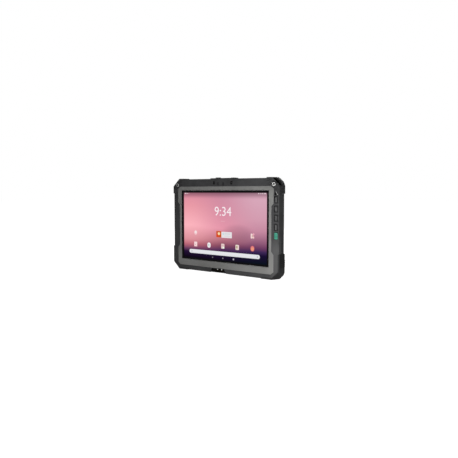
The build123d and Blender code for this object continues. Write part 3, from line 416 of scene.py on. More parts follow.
FINISHES = {}
RECIPES = {  # a maker and its values; a word is a display colour or one of the panel's colours
    "frame_polymer": (moulded, "frame_dark", "frame_light", 0.62, 1500, 0.0001, 0.25, 0.35,
                      frame_painted_light),
    "bumper_rubber": (moulded, "rubber_dark", "rubber_light", 0.7, 1100, 0.00016, 0.25, 0.35,
                      darkened_rubber),
    "cover_polymer": (moulded, "frame_dark", "frame_light", 0.66, 1300, 0.00012),
    "battery_case": (moulded, "26272A", "36373A", 0.6, 1700, 0.00008),
    "key_polymer": (moulded, "121213", "1A1A1B", 0.55, 1800, 0.00006),
    "pit_black": (moulded, "050505", "0B0B0B", 0.8, 1800, 0.00005, 0.0, 0.1),
    "label_ink": (moulded, "2A2A2C", "3A3A3D", 0.6, 2200, 0.00002, 0.0),
    "marking_grey": (moulded, "8C8C8A", "A2A2A0", 0.5, 1800, 0.00005),
    "power_green": (moulded, "2F8068", "4FA085", 0.5, 1700, 0.00006),
    "seal_silicone": (moulded, "3B3B3D", "505053", 0.75, 900, 0.00005),
    "graphite": (moulded, "2B2B2D", "3A3A3D", 0.45, 2200, 0.00003),
    "chip": (moulded, "141414", "222222", 0.5, 2500, 0.00003),
    "label_grey": (glossy, "A9ABAC", "B9BBBC", 0.35, 0.4),
    "cover_glass": (glossy, "020203", "050507", 0.12, 0.12),
    "window_black": (glossy, "040406", "09090C", 0.08, 0.5),
    "lamp_lens": (glossy, "E9E6D8", "F6F4EA", 0.15, 0.5),
    "lcd": (glossy, "101014", "1B1B22", 0.2, 0.4),
    "optical_film": (glossy, "D9DEE2", "F0F3F5", 0.35, 0.5),
    "magnesium": (metal, "8B8D8F", 0.5, (1, 1, 1), 0.15),
    "bright_steel": (metal, "E3E3E0", 0.3, (1, 1, 0.15), 0.08),
    "black_steel": (metal, "2C2C2E", 0.45, (1, 1, 1), 0.15),
    "brass": (metal, "C9A35B", 0.35, (0.2, 1, 1), 0.1),
    # painted shade: the gold is darkened nearly to black, for contacts lying in the dock recess's
    # shade
    "gold_contact": (metal, "241F16", 0.55, (1, 1, 1), 0.1),
    "bezel_grey": (painted_metal, "bezel_dark", "bezel_light"),
    "ring_nickel": (ring_nickel,),
    "circuit_board": (circuit,),
}


def tone(value):
    """A recipe's colour: a display colour, or the name of one of the panel's colours."""
    looks = bpy.context.scene.tablet_looks
    return (*getattr(looks, value), 1.0) if hasattr(looks, value) else linear(value)


def finish(slot):
    """The material of a slot, made once from its recipe."""
    if slot not in RECIPES:
        raise RuntimeError(f"no finish is written for the slot {slot}")
    if slot not in FINISHES:
        maker, *values = RECIPES[slot]
        values = [tone(value) if isinstance(value, str) else value for value in values]
        FINISHES[slot] = maker(slot, *values)
    return FINISHES[slot]


# ---- shapes

def place(mesh, name, body, material, smooth_angle=40):
    """Makes an object of a finished mesh and rides it on its body."""
    piece = bpy.data.objects.new(name, mesh)
    bpy.context.scene.collection.objects.link(piece)
    mesh.materials.append(material)
    mesh.shade_smooth()
    mesh.set_sharp_from_angle(angle=math.radians(smooth_angle))
    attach(piece, body)
    return piece


def add(name, stacks, slot, look=None, body=ROOT, smooth_angle=40, caps=(True, True)):
    """A piece made of shells.

    look is a material or the name of a finish, where it isn't the slot's own.
    """
    material = look if isinstance(look, bpy.types.Material) else finish(look or slot)
    return place(shells(name, stacks, caps), name, body, material, smooth_angle)


def closed(mesh, distance):
    """Joins a mesh's corners that lie within the distance and turns its normals outwards."""
    work = bmesh.new()
    work.from_mesh(mesh)
    bmesh.ops.remove_doubles(work, verts=work.verts, dist=distance)
    bmesh.ops.recalc_face_normals(work, faces=work.faces)
    work.to_mesh(mesh)
    work.free()
    return mesh


def tinted(mesh, colours):
    """Stores one colour for each corner of a mesh."""
    layer = mesh.color_attributes.new("tint", "FLOAT_COLOR", "CORNER")
    layer.data.foreach_set("color", colours.astype(np.float32).ravel())
    return mesh


def shells(name, stacks, caps=(True, True), tints=None):
    """A mesh of closed shells, each a stack of rings: array (shell, ring, point, 3).

    Neighbouring rings are joined by quads all the way round, and the first and
    last ring are closed by one flat face each, where caps asks for it.
    """
    stacks = np.asarray(stacks, float)
    count, rings, points = stacks.shape[:3]
    shell, ring, point = np.meshgrid(np.arange(count), np.arange(rings - 1), np.arange(points),
                                     indexing="ij")
    after = (point + 1) % points
    base = (shell * rings + ring) * points
    corners = [base + point, base + after, base + points + after, base + points + point]
    faces = np.stack(corners, -1).reshape(-1, 4).tolist()
    owners = shell.reshape(-1).tolist()
    for end, wanted in zip((0, rings - 1), caps):
        if wanted:
            starts = (np.arange(count)[:, None] * rings + end) * points
            faces += (starts + np.arange(points)).tolist()
            owners += list(range(count))
    mesh = bpy.data.meshes.new(name)
    mesh.from_pydata(stacks.reshape(-1, 3).tolist(), [], faces)
    if tints is not None:
        tinted(mesh, np.repeat(np.asarray(tints, float)[owners], [len(face) for face in faces],
                               axis=0))
    return closed(mesh, 1e-8)


def rounded_outline(half_x, half_z, radius, steps=7):
    """Points round a rounded rectangle, in the XZ plane, from one angle array.

    Each point is its corner's arc centre plus the radius times the direction of
    the angle; the angle runs a quarter turn at each of the four corners.
    """
    quarter = np.arange(4)[:, None]
    angle = (quarter + np.linspace(0, 1, steps)[None, :]) * math.pi / 2
    side_x = np.array([1, -1, -1, 1])[:, None] * (half_x - radius)
    side_z = np.array([1, 1, -1, -1])[:, None] * (half_z - radius)
    outline = np.stack([side_x + radius * np.cos(angle), side_z + radius * np.sin(angle)], -1)
    return outline.reshape(-1, 2)


def traced(spot, corners):
    """An XZ outline in metres, from corners in millimetres round a spot in metres."""
    return np.array(corners) * MM + np.array(spot)


def standing(outline, depth, centre=(0, 0)):
    """An XZ outline set at a depth along Y round a centre."""
    ring = np.zeros((len(outline), 3))
    ring[:, 0] = outline[:, 0] + centre[0]
    ring[:, 1] = depth
    ring[:, 2] = outline[:, 1] + centre[1]
    return ring


def lathed(centre, face, profile, unit=MM, count=64, lobed=0):
    """Rings about an axis along Y, one per (radius, depth) of the profile.

    Radii are in units, depths in millimetres behind the face.  On the last
    `lobed` rings the radius swells by LOBE_DEPTH times the cosine of LOBES times
    the angle, which turns a round socket into a star-shaped one.
    """
    angle = np.linspace(0, 2 * math.pi, count, endpoint=False)
    radius, depth = (np.array(column, float)[:, None] for column in zip(*profile))
    swells = np.arange(len(profile))[:, None] >= len(profile) - lobed
    reach = radius * unit * (1 + swells * LOBE_DEPTH * np.cos(LOBES * angle))
    return np.stack([centre[0] + reach * np.cos(angle), face + depth * MM + 0 * reach,
                     centre[1] + reach * np.sin(angle)], -1)


def disc(node):
    """The middle in the XZ plane and the radius of a round CAD node."""
    low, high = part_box(node)
    return ((low.x + high.x) / 2, (low.z + high.z) / 2), (high.x - low.x) / 2


def softened(node, width):
    """A CAD node's mesh with its triangles joined and its edges rounded."""
    source = frame["nodes"][node]
    mesh = bpy.data.meshes.new(node + "_rounded")
    work = bmesh.new()
    work.from_mesh(source.data)
    bmesh.ops.remove_doubles(work, verts=work.verts, dist=2e-6)
    bmesh.ops.dissolve_limit(work, angle_limit=math.radians(1), verts=work.verts,
                             edges=work.edges)
    work.to_mesh(mesh)
    work.free()
    slot = SLOT_OF[node]
    piece = place(mesh, node + "_rounded", source["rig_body"], finish(slot), SHARP_DEGREES)
    bevel = piece.modifiers.new("rounded edges", "BEVEL")
    bevel.width = width
    bevel.segments = 2
    bevel.limit_method = "ANGLE"
    bevel.angle_limit = math.radians(SHARP_DEGREES)
    bevel.harden_normals = True
    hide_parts(node)


# ---- screen

def polygon(sides, radius, turn):
    """A regular polygon's corners in the XZ plane."""
    angle = np.arange(sides) * 2 * math.pi / sides + turn
    return radius * np.stack([np.cos(angle), np.sin(angle)], -1)


def resampled(outline, count):
    """The outline with `count` points, spaced evenly along its length."""
    closed = np.vstack([outline, outline[:1]])
    length = np.concatenate([[0], np.cumsum(np.linalg.norm(np.diff(closed, axis=0), axis=1))])
    wanted = np.linspace(0, length[-1], count, endpoint=False)
    return np.stack([np.interp(wanted, length, closed[:, k]) for k in (0, 1)], -1)


MARK_POINTS = 48
LAYER_STEP, MARK_DEPTH = 0.03 * MM, 0.02 * MM
# The screen's marks, in millimetres from its centre.  A card is x, z, half width, half height,
# corner radius, layer and colour; a figure is x, z, sides, radius, turn, layer and colour.
SCREEN_MARKS = {
    "app_icons": (  # generic tiles with simple figures, in two rows
        [(-74.4, -39.2, 4.3, 5, 1.4, 1, "F6DADB"), (-73.2, -42.4, 2.2, 1, 0.8, 2, "FFC4CD"),
         (-37.1, -39.2, 4.3, 5.2, 3.4, 1, "F4EFF3"), (-35.6, -41.8, 1.1, 1.1, 1, 2, "E4DDE4"),
         (0, -39.2, 4.3, 5, 1.6, 1, "E6CBC9"), (1.6, -42.1, 2.3, 1.5, 1.2, 2, "E9FBEA"),
         (-0.4, -38.3, 2.4, 0.8, 0.6, 2, "D2B3AE"), (37.2, -39.2, 4.4, 5, 1.4, 1, "E8DACB"),
         (36.3, -39, 2, 2.4, 1.2, 2, "B5A884"), (40.2, -39.4, 1.2, 4.4, 0.8, 2, "F3D3DD"),
         (74.7, -39.2, 4.6, 5.2, 4.4, 1, "E0766F"), (74.7, -39.5, 3.3, 3.9, 3.2, 2, "F19A7C"),
         (74.7, -36.3, 2.3, 1.3, 1.2, 3, "E97E86"), (-74.3, -15.2, 4.4, 4.6, 4.3, 1, "F3C6CB"),
         (-74.3, -14.2, 3, 2.6, 2.5, 2, "F8E3E4"), (-74.3, -22.4, 4, 0.5, 0.4, 2, "DDA6AE"),
         (72.6, -15.2, 2.1, 4.7, 1.5, 1, "F6DCDA"), (77, -17.8, 2, 2, 1.2, 1, "F3CAC8"),
         (74.6, -15.2, 1.6, 1.6, 0.8, 2, "D4AFA0"), (74.8, -22.6, 3.6, 0.5, 0.4, 2, "A98090")],
        [(-74.9, -39.8, 3, 1.5, math.pi / 2, 2, "B98C8C"), (-37.6, -39, 3, 2.1, 0, 2, "55B08F"),
         (77.2, -12, 4, 2.9, 0.2, 1, "E9A8B8")]),
    "weather_card": (  # an orange square with a pale sun, and a white slip
        [(9.9, -16.3, 13.6, 6, 0.9, 1, "E9E4E8"), (-10.6, -15.6, 6.9, 6.3, 1.1, 1, "D9582A"),
         (-10.6, -11.8, 6, 2, 0.8, 2, "CE6038"), (-13, -19.2, 3.2, 2.4, 1.4, 2, "DD4A1E"),
         (-7, -19, 2.6, 2.3, 1.4, 2, "C4560F"), (12, -14.2, 7.6, 0.8, 0.6, 2, "CDD4D6"),
         (10.6, -17.2, 6, 0.6, 0.5, 2, "D8E6E4"), (13, -19.6, 8, 0.6, 0.5, 2, "DCD3D9")],
        [(-10.2, -14.6, 28, 2.9, 0, 3, "FBE3AE"), (1.2, -14.8, 24, 2.1, 0, 2, "BFE0E2")]),
    "screen_bars": (  # search bar, navigation and status marks
        [(0, -54.25, 92.5, 4, 3.9, 1, "E3E4E8"), (0, -53.4, 90, 2, 1.9, 2, "E8E9ED"),
         (-85.2, -54.3, 0.7, 1.5, 0.5, 3, "A3A3A8"), (86.8, -54.3, 1.5, 1.3, 1.2, 3, "B4B4BC"),
         (27.6, -63.5, 1.5, 1.5, 0.3, 1, "BDB9C6"), (-103.6, 65.6, 1.6, 0.9, 0.4, 1, "F2E3E8"),
         (-99.6, 65.6, 0.8, 0.9, 0.4, 1, "F7EBEF"), (-96.6, 65.6, 0.9, 0.9, 0.4, 1, "EBD3DA"),
         (-92.6, 65.6, 0.5, 0.9, 0.4, 1, "CFA0AE"), (89.4, 65.6, 1.2, 0.9, 0.4, 1, "EFDCE4"),
         (94.4, 65.6, 1, 0.9, 0.4, 1, "EFDCE4"), (99, 65.6, 1.2, 0.9, 0.4, 1, "EFDCE4"),
         (104.2, 65.6, 2, 0.9, 0.4, 1, "EFDCE4"), (-3.4, 10.6, 1.2, 0.7, 0.5, 1, "E9B4C0"),
         (-0.2, 10.6, 1, 0.7, 0.5, 1, "E9B4C0"), (3.2, 10.6, 1.3, 0.7, 0.5, 1, "E9B4C0")],
        [(-27.3, -63.5, 3, 1.9, math.pi, 1, "8F8A94"), (0, -63.5, 24, 1.5, 0, 1, "847F8A")]),
}


def screen_mark(outline, centre, layer, face):
    """A thin closed slip of the outline, lying `layer` steps in front of the screen."""
    front = face - layer * LAYER_STEP
    outline = resampled(outline, MARK_POINTS) if len(outline) != MARK_POINTS else outline
    return [standing(outline * MM, front + MARK_DEPTH, centre), standing(outline * MM, front, centre)]


def screen_marks(name, centre, face, material):
    """One piece of glowing marks, made from its rows of cards and of figures."""
    cards, figures = SCREEN_MARKS[name]
    rows = [(x, z, rounded_outline(half_x, half_z, radius, MARK_POINTS // 4), layer, code)
            for x, z, half_x, half_z, radius, layer, code in cards]
    rows += [(x, z, polygon(sides, radius, turn), layer, code)
             for x, z, sides, radius, turn, layer, code in figures]
    stacks = [screen_mark(outline, (centre.x + x * MM, centre.z + z * MM), layer, face)
              for x, z, outline, layer, _ in rows]
    mesh = shells(name, stacks, tints=[linear(row[-1]) for row in rows])
    place(mesh, name, ROOT, material, 60)


def clock_mesh(centre, face):
    """Four plain figures of the time, turned from text into a thin mesh."""
    curve = bpy.data.curves.new("clock_figures", "FONT")
    curve.body = "9:34"
    curve.align_x = "CENTER"
    curve.extrude = 0.01
    curve.resolution_u = 8
    text = bpy.data.objects.new("clock_source", curve)
    bpy.context.scene.collection.objects.link(text)
    bpy.context.view_layer.update()
    evaluated = text.evaluated_get(bpy.context.evaluated_depsgraph_get())
    mesh = bpy.data.meshes.new_from_object(evaluated)
    bpy.data.objects.remove(text)
    points = np.empty(len(mesh.vertices) * 3, np.float32)
    mesh.vertices.foreach_get("co", points)
    points = points.reshape(-1, 3)
    low, high = points.min(0), points.max(0)
    share = (points - low) / (high - low)
    placed = np.stack([centre.x + (-21.6 + share[:, 0] * 43.6) * MM,
                       face - LAYER_STEP - share[:, 2] * MARK_DEPTH,
                       centre.z + (21.2 + share[:, 1] * 18.0) * MM], -1)
    mesh.vertices.foreach_set("co", placed.astype(np.float32).ravel())
    closed(mesh, 1e-7)
    return tinted(mesh, np.tile(np.array(linear("FBEFF3")), len(mesh.loops)))


# ---- properties

def colour_property(label, text, code):
    return FloatVectorProperty(name=label, description=text, default=linear(code)[:3],
                               subtype="COLOR", min=0, max=1)


def length_property(label, text, default):
    return FloatProperty(name=label, description=text, default=default, min=0, unit="LENGTH")


class TabletLooks(bpy.types.PropertyGroup):
    """Colours of the outer finishes."""

    frame_dark: colour_property("Frame, dark", "Darker tone of the moulded frame", "2B2B2C")
    frame_light: colour_property("Frame, light", "Lighter tone of the moulded frame", "363637")
    rubber_dark: colour_property("Rubber, dark", "Darker tone of the bumpers", "242425")
    rubber_light: colour_property("Rubber, light", "Lighter tone of the bumpers", "303031")
    bezel_dark: colour_property("Bezel, dark", "Darker tone of the bezel's paint", "727270")
    bezel_light: colour_property("Bezel, light", "Lighter tone of the bezel's paint", "828280")


class TabletSizes(bpy.types.PropertyGroup):
    """Sizes of the added detail."""

    shell_edge: length_property("Shell edge", "Rounding of the shell's edges", 0.0005)
    bumper_edge: length_property("Bumper edge", "Rounding of the bumpers' edges", 0.0009)
    bezel_edge: length_property("Bezel edge", "Rounding of the bezel's edges", 0.0004)
    bumper_proud: length_property("Bumper proud", "How far the bumpers stand out past the frame",
                                  0.0014)
    rib_height: length_property("Rib height", "How far the bumpers' small ribs stand out", 0.00035)
    rib_count: IntProperty(name="Ribs", description="Small ribs on the side of each bumper",
                           default=4, min=2, max=20)


# ---- operators

class TABLET_OT_stage(bpy.types.Operator):
    """Lays the pale floor, hangs the soft lights and sets up the camera."""

    bl_idname = "tablet.stage"
    bl_label = "Stage"

    def execute(self, context):
        scene = context.scene
        scene.view_settings.view_transform = "Standard"
        grid = np.linspace(-8, 8, 5)
        x, y = np.meshgrid(grid, grid)
        mesh = bpy.data.meshes.new("floor")
        row = np.arange(4)[:, None] * 5 + np.arange(4)
        faces = np.stack([row, row + 1, row + 6, row + 5], -1).reshape(-1, 4)
        corners = np.stack([x, y, 0 * x - FLOOR_GAP], -1).reshape(-1, 3)
        mesh.from_pydata(corners.tolist(), [], faces.tolist())
        floor = bpy.data.objects.new("floor", mesh)
        scene.collection.objects.link(floor)
        mesh.materials.append(floor_material())
        world = bpy.data.worlds.new("studio")
        scene.world = world
        world.use_nodes = True
        tree = world.node_tree
        path = tree.nodes.new("ShaderNodeLightPath")
        blend = tree.nodes.new("ShaderNodeMix")
        blend.data_type = "RGBA"
        blend.inputs[6].default_value = (0.12, 0.121, 0.123, 1)
        blend.inputs[7].default_value = (1, 1, 1, 1)
        tree.links.new(path.outputs["Is Camera Ray"], blend.inputs[0])
        tree.links.new(blend.outputs[2], tree.nodes["Background"].inputs[0])
        for light in LIGHTS:
            softbox(*light)
        camera = bpy.data.objects.new("camera", bpy.data.cameras.new("camera"))
        scene.collection.objects.link(camera)
        camera.location = (0.7319, -0.8530, 0.1644)
        camera.rotation_euler = [math.radians(turn) for turn in (86.18, 0, 40.26)]
        camera.data.lens = 44.29
        camera.data.sensor_width = 36
        camera.data.clip_start = 0.01
        scene.camera = camera
        return {"FINISHED"}


def floor_material():
    """Floor paint that is nearly white by itself, so shadows stay faint."""
    paint = Paint("pale_floor", Roughness=0.9, Specular_IOR_Level=0.0, Emission_Strength=1.0)
    colour = paint.mix(paint.noise(1.5, 3), linear("868686"), linear("8C8C8C"))
    seen = paint.node("ShaderNodeLightPath", output="Is Camera Ray")
    glow = paint.mix(seen, (0.16, 0.16, 0.16, 1), (0.985, 0.985, 0.985, 1))
    return paint.feed(Base_Color=colour, Emission_Color=glow)


def softbox(name, spot, target, size, power):
    """A rectangular soft light that looks at a target."""
    data = bpy.data.lights.new(name, "AREA")
    data.shape = "RECTANGLE"
    data.size, data.size_y = size
    data.energy = power
    light = bpy.data.objects.new(name, data)
    bpy.context.scene.collection.objects.link(light)
    light.location = spot
    aim = Vector(target) - Vector(spot)
    light.rotation_euler = aim.to_track_quat("-Z", "Y").to_euler()
    light.visible_camera = False


class TABLET_OT_carried_nodes(bpy.types.Operator):
    """Gives every CAD node the finish of its slot, and the dock connector a black one."""

    bl_idname = "tablet.carried_nodes"
    bl_label = "Carried nodes"

    def execute(self, context):
        for name, node in frame["nodes"].items():
            material = finish("pit_black" if name == "dock_connector" else SLOT_OF[name])
            if not node.material_slots:
                node.data.materials.append(material)
            for holder in node.material_slots:
                holder.material = material
        return {"FINISHED"}


class TABLET_OT_shell(bpy.types.Operator):
    """Rounds the front frame and the rear cover."""

    bl_idname = "tablet.shell"
    bl_label = "Shell"

    def execute(self, context):
        edge = context.scene.tablet_sizes.shell_edge
        softened("front_frame", edge)
        softened("rear_cover", edge)
        return {"FINISHED"}


class TABLET_OT_bezel(bpy.types.Operator):
    """Rounds the grey display bezel and lines its opening with a dark lip."""

    bl_idname = "tablet.bezel"
    bl_label = "Bezel"

    def execute(self, context):
        softened("display_bezel", context.scene.tablet_sizes.bezel_edge)
        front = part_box("display_bezel")[0].y
        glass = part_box("cover_glass")[0].y
        low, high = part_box("lcd_panel")
        centre = (low + high) / 2
        half = (high - low) / 2
        steps = [(-1.2, glass - 0.01 * MM), (-1.1, glass - 0.3 * MM), (-0.7, front + 0.1 * MM),
                 (-0.35, front - 0.03 * MM), (-0.2, front - 0.03 * MM), (-0.25, glass - 0.01 * MM),
                 (-1.2, glass - 0.01 * MM)]
        rings = [standing(rounded_outline(half.x + grow * MM, half.z + grow * MM, 0.5 * MM, 5),
                          depth, (centre.x, centre.z)) for grow, depth in steps]
        add("bezel_lip", [rings], "bumper_rubber", "pit_black", caps=(False, False))
        return {"FINISHED"}


def slab(outline, front, back, edge=0.12):
    """Rings of a thin plate: an XZ outline in metres, its front edge eased by `edge` mm."""
    middle = outline.mean(0)
    inner = middle + (outline - middle) * (1 - edge * MM / np.abs(outline - middle).max())
    return [standing(outline, back), standing(outline, front + edge * MM), standing(inner, front)]


class TABLET_OT_front_detail(bpy.types.Operator):
    """Adds the front frame's small parts: dock lining, sensors, slots and indicator, with painted
    shade in the dock and over the slots and a painted highlight by the indicator.
    """

    bl_idname = "tablet.front_detail"
    bl_label = "Front detail"

    def execute(self, context):
        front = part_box("front_frame")[0].y
        self.dock(front)
        self.sensors(front)
        self.indicator(front)
        return {"FINISHED"}

    def dock(self, front):
        """The dock recess: a dark floor, two leaning walls and a roof, laid in as painted shade, and
        two pins.
        """
        low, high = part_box("dock_connector")
        floor = low.y + 0.42 * MM
        middle = (low.x + high.x) / 2
        spot = (middle, high.z + 1.2 * MM)
        drop = (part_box("rear_cover")[0].z - spot[1]) / MM
        # painted shade: near-black floor, walls and roof laid over the dock recess
        corners = [(-15.4, 0), (-21.8, drop + 0.1), (21.8, drop + 0.1), (15.4, 0)]
        lining = [slab(traced(spot, corners), floor - 0.02 * MM, floor + 0.3 * MM, 0.02)]
        add("dock_shade_lining", lining, "frame_polymer", "pit_black")
        faces = [[(side * 15.45, 0), (side * 21.7, drop + 0.15), (side * 21.4, drop + 0.15),
                  (side * 15.15, 0)] for side in (-1, 1)]
        faces.append([(-15.4, 0.05), (15.4, 0.05), (15.2, -0.25), (-15.2, -0.25)])
        walls = [slab(traced(spot, face), front + 0.35 * MM, floor, 0.02) for face in faces]
        add("dock_shade_walls", walls, "frame_polymer", "pit_black")
        profile = [(0.9, 0.1), (0.9, -0.9), (0.75, -1.3), (0.4, -1.5)]
        pins = [lathed((middle + x * MM, high.z - 1.2 * MM), low.y, profile, count=20)
                for x in (-4.6, 6.4)]
        add("dock_pins", pins, "bright_steel", "ring_nickel")

    def sensors(self, front):
        """Dark pads round the top slots and windows, and a collar and lens per window.  The pads over
        the slots are painted shade for the slot openings.
        """
        low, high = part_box("microphones")
        windows = {word: disc(word + "_window") for word in ("light_sensor", "front_camera")}
        # painted shade: black pads laid over the microphone slots
        spots = [(low.x + 2.0 * MM, high.z - 2.8 * MM, 0.95, 3.2),
                 (high.x - 2.0 * MM, low.z + 2.8 * MM, 0.95, 3.2)]
        spots += [(x, z - 0.8 * MM, reach / MM + 0.35, 3.3) for (x, z), reach in windows.values()]
        pads = [slab(traced((x, z), rounded_outline(half_x, half_z, 0.8, 6)), front - 0.03 * MM,
                     front + 0.3 * MM, 0.05) for x, z, half_x, half_z in spots]
        add("sensor_pads", pads, "window_black", "pit_black")
        face = front - 0.12 * MM
        collar = [(1.0, 0.4), (1.0, 0.06), (0.94, 0), (0.8, 0.01), (0.66, 0.08), (0.64, 0.4),
                  (1.0, 0.4)]
        dome = [(0.7, 0.3), (0.66, 0.08), (0.5, 0.03), (0.25, 0.01), (0.05, 0)]
        for word, (spot, reach) in windows.items():
            add(word + "_collar", [lathed(spot, face, collar, reach, 40)], "window_black",
                "pit_black", caps=(False, False))
            add(word + "_lens", [lathed(spot, face, dome, reach, 40)], "window_black",
                smooth_angle=60)

    def indicator(self, front):
        """The black mark over the indicator window and a pale plate beside it, a painted highlight
        where a facet of the frame catches light.
        """
        low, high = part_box("indicator_window")
        spot = ((low.x + high.x) / 2, low.z)
        half, tall = (high.x - low.x) / (2 * MM), (high.z - low.z) / MM
        mark = traced(spot, [(-half - 0.45, -0.3), (half + 0.35, -0.3), (0.3, tall + 0.35),
                             (-0.3, tall + 0.35)])
        add("indicator_mark", [slab(mark, front + 0.06 * MM, low.y + 0.1 * MM, 0.1)],
            "window_black", "pit_black")
        # painted highlight: a pale grey plate beside the indicator, for a facet catching light
        highlight_plate = traced(spot, [(half + 0.35, 0.3), (half + 2.5, 1.2), (half - 0.4, tall + 0.5),
                              (half - 2.6, tall + 0.3)])
        add("indicator_painted_highlight", [slab(highlight_plate, front + 0.15 * MM, front + 0.75 * MM)],
            "frame_polymer", "marking_grey")


def rib_stack(x, z, outward, height):
    """One grip rib: a half-round bar along Y whose ends sink into the bumper.

    Each ring is an ellipse, 0.8 mm to either side along the surface by `height`
    out of it, scaled by the square root of one minus the sixth power of its
    place along the bar.
    """
    place_along = np.linspace(-1, 1, 9)[:, None]
    size = np.sqrt(np.clip(1 - place_along ** 6, 0.0004, 1))
    angle = np.linspace(0, 2 * math.pi, 14, endpoint=False)
    return np.stack([x + outward * height * size * np.sin(angle),
                     7.4 * MM * place_along + 0 * angle,
                     z + 0.8 * MM * size * np.cos(angle)], -1)


class TABLET_OT_bumpers(bpy.types.Operator):
    """Rounds the four corner bumpers and lays small ribs on their outer sides."""

    bl_idname = "tablet.bumpers"
    bl_label = "Corner bumpers"

    def execute(self, context):
        sizes = context.scene.tablet_sizes
        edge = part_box("front_frame")[1].x + sizes.bumper_proud
        for level in ("top", "bottom"):
            for side, word in ((-1, "left"), (1, "right")):
                node = f"corner_bumper_{level}_{word}"
                softened(node, sizes.bumper_edge)
                low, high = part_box(node)
                first = low.z + 3 * MM if level == "top" else high.z - 11 * MM
                stacks = [rib_stack(side * edge, z, side, sizes.rib_height)
                          for z in np.linspace(first, first + 8 * MM, sizes.rib_count)]
                add(node + "_ribs", stacks, "bumper_rubber", smooth_angle=50)
        return {"FINISHED"}


class TABLET_OT_screen(bpy.types.Operator):
    """Lights the screen: sky, clock, tiles, weather card, bars and small marks."""

    bl_idname = "tablet.screen"
    bl_label = "Screen"

    def execute(self, context):
        low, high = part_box("light_guide")
        centre = (low + high) / 2
        half = (high - low) / 2
        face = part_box("cover_glass")[0].y - 0.05 * MM
        outline = rounded_outline(half.x, half.z, 0.2 * MM, 3)
        spot = (centre.x, centre.z)
        rings = [standing(outline, face + 0.04 * MM, spot), standing(outline, face, spot)]
        sky = lit_sky("screen_sky", half.x, half.z, centre.z)
        add("screen_face", [rings], "lcd", sky, smooth_angle=60)
        glow = glowing_marks("screen_glow")
        for name in SCREEN_MARKS:
            screen_marks(name, centre, face, glow)
        place(clock_mesh(centre, face), "clock", ROOT, glow, 60)
        return {"FINISHED"}


def cap_rings(spot, front, steps):
    """Rings of a key: half width, half height, corner radius and depth behind the front, in mm."""
    return [standing(rounded_outline(half_x * MM, half_z * MM, radius * MM), front + depth * MM, spot)
            for half_x, half_z, radius, depth in steps]


class TABLET_OT_keys(bpy.types.Operator):
    """Models the four function keys, each a rim darkened as painted shade round a cap with a narrow
    ridge.
    """

    bl_idname = "tablet.keys"
    bl_label = "Function keys"

    def execute(self, context):
        for number in range(1, 5):
            node = f"function_key_{number}"
            low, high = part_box(node)
            spot = ((low.x + high.x) / 2, (low.z + high.z) / 2)
            deep = (high.y - low.y) / MM
            steps = [(4.9, 7.2, 0.4, deep), (4.9, 7.2, 0.4, deep - FLANGE),
                     (4.4, 6.3, 1.0, deep - FLANGE), (4.4, 6.3, 1.0, 1.3), (4.3, 6.2, 0.95, 1.08),
                     (4.05, 5.95, 0.9, 1.0), (2.65, 5.35, 1.1, 1.02), (2.45, 5.2, 1.0, 0.6),
                     (2.3, 5.05, 0.95, 0.36), (1.95, 4.8, 0.9, 0.27), (1.0, 4.4, 0.7, 0.25),
                     (0.9, 4.3, 0.65, 0.08), (0.75, 4.1, 0.6, 0.01), (0.35, 3.6, 0.3, 0)]
            # the first tone is painted shade deep in the key's pocket
            material = key_tint(node + "_tint", [linear("101011"), linear("2E2E2F"),
                                                 linear("565656")], low.y)
            piece = add(node + "_cap", [cap_rings(spot, low.y, steps)], "key_polymer", material, node)
            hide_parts(node)
        return {"FINISHED"}


class TABLET_OT_power_key(bpy.types.Operator):
    """Models the power key: a green cap, dished between its ends, in a dark collar."""

    bl_idname = "tablet.power_key"
    bl_label = "Power key"

    def execute(self, context):
        low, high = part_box("power_key")
        centre = (low + high) / 2
        deep = (high.y - low.y) / MM
        collar = [(4.9, 7.5, 0.4, deep), (4.9, 7.5, 0.4, deep - FLANGE),
                  (4.4, 6.7, 1.0, deep - FLANGE), (4.4, 6.7, 1.0, 0.9), (4.3, 6.6, 0.95, 0.62),
                  (4.1, 6.4, 0.9, 0.55), (3.7, 5.9, 0.9, 0.6)]
        add("power_key_collar", [cap_rings((centre.x, centre.z), low.y, collar)], "key_polymer",
            body="power_key")
        half_x, half_z = 3.75 * MM, 5.95 * MM
        rim = rounded_outline(half_x, half_z, 1.3 * MM, 12)
        share = np.array([1.0, 1.0, 0.985, 0.93, 0.84, 0.72, 0.58, 0.42, 0.26, 0.1, 0.0])[:, None]
        x, z = rim[:, 0] * share, rim[:, 1] * share
        dish = 0.3 * MM * (1 - np.clip(np.abs(z) / half_z, 0, 1) ** 2) * (1 - (x / half_x) ** 2)
        shoulder = 0.5 * MM * np.clip((share - 0.8) / 0.2, 0, 1) ** 2.2
        depth = low.y + dish + shoulder
        depth[0] = low.y + 0.9 * MM
        rings = np.stack([centre.x + x, depth, centre.z + z], -1)
        material = power_tint("power_key_tint", linear("297662"), linear("3A8672"), centre.z,
                              5.9 * MM)
        piece = add("power_key_cap", [rings], "power_green", material, "power_key",
                    caps=(True, False))
        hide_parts("power_key")
        return {"FINISHED"}


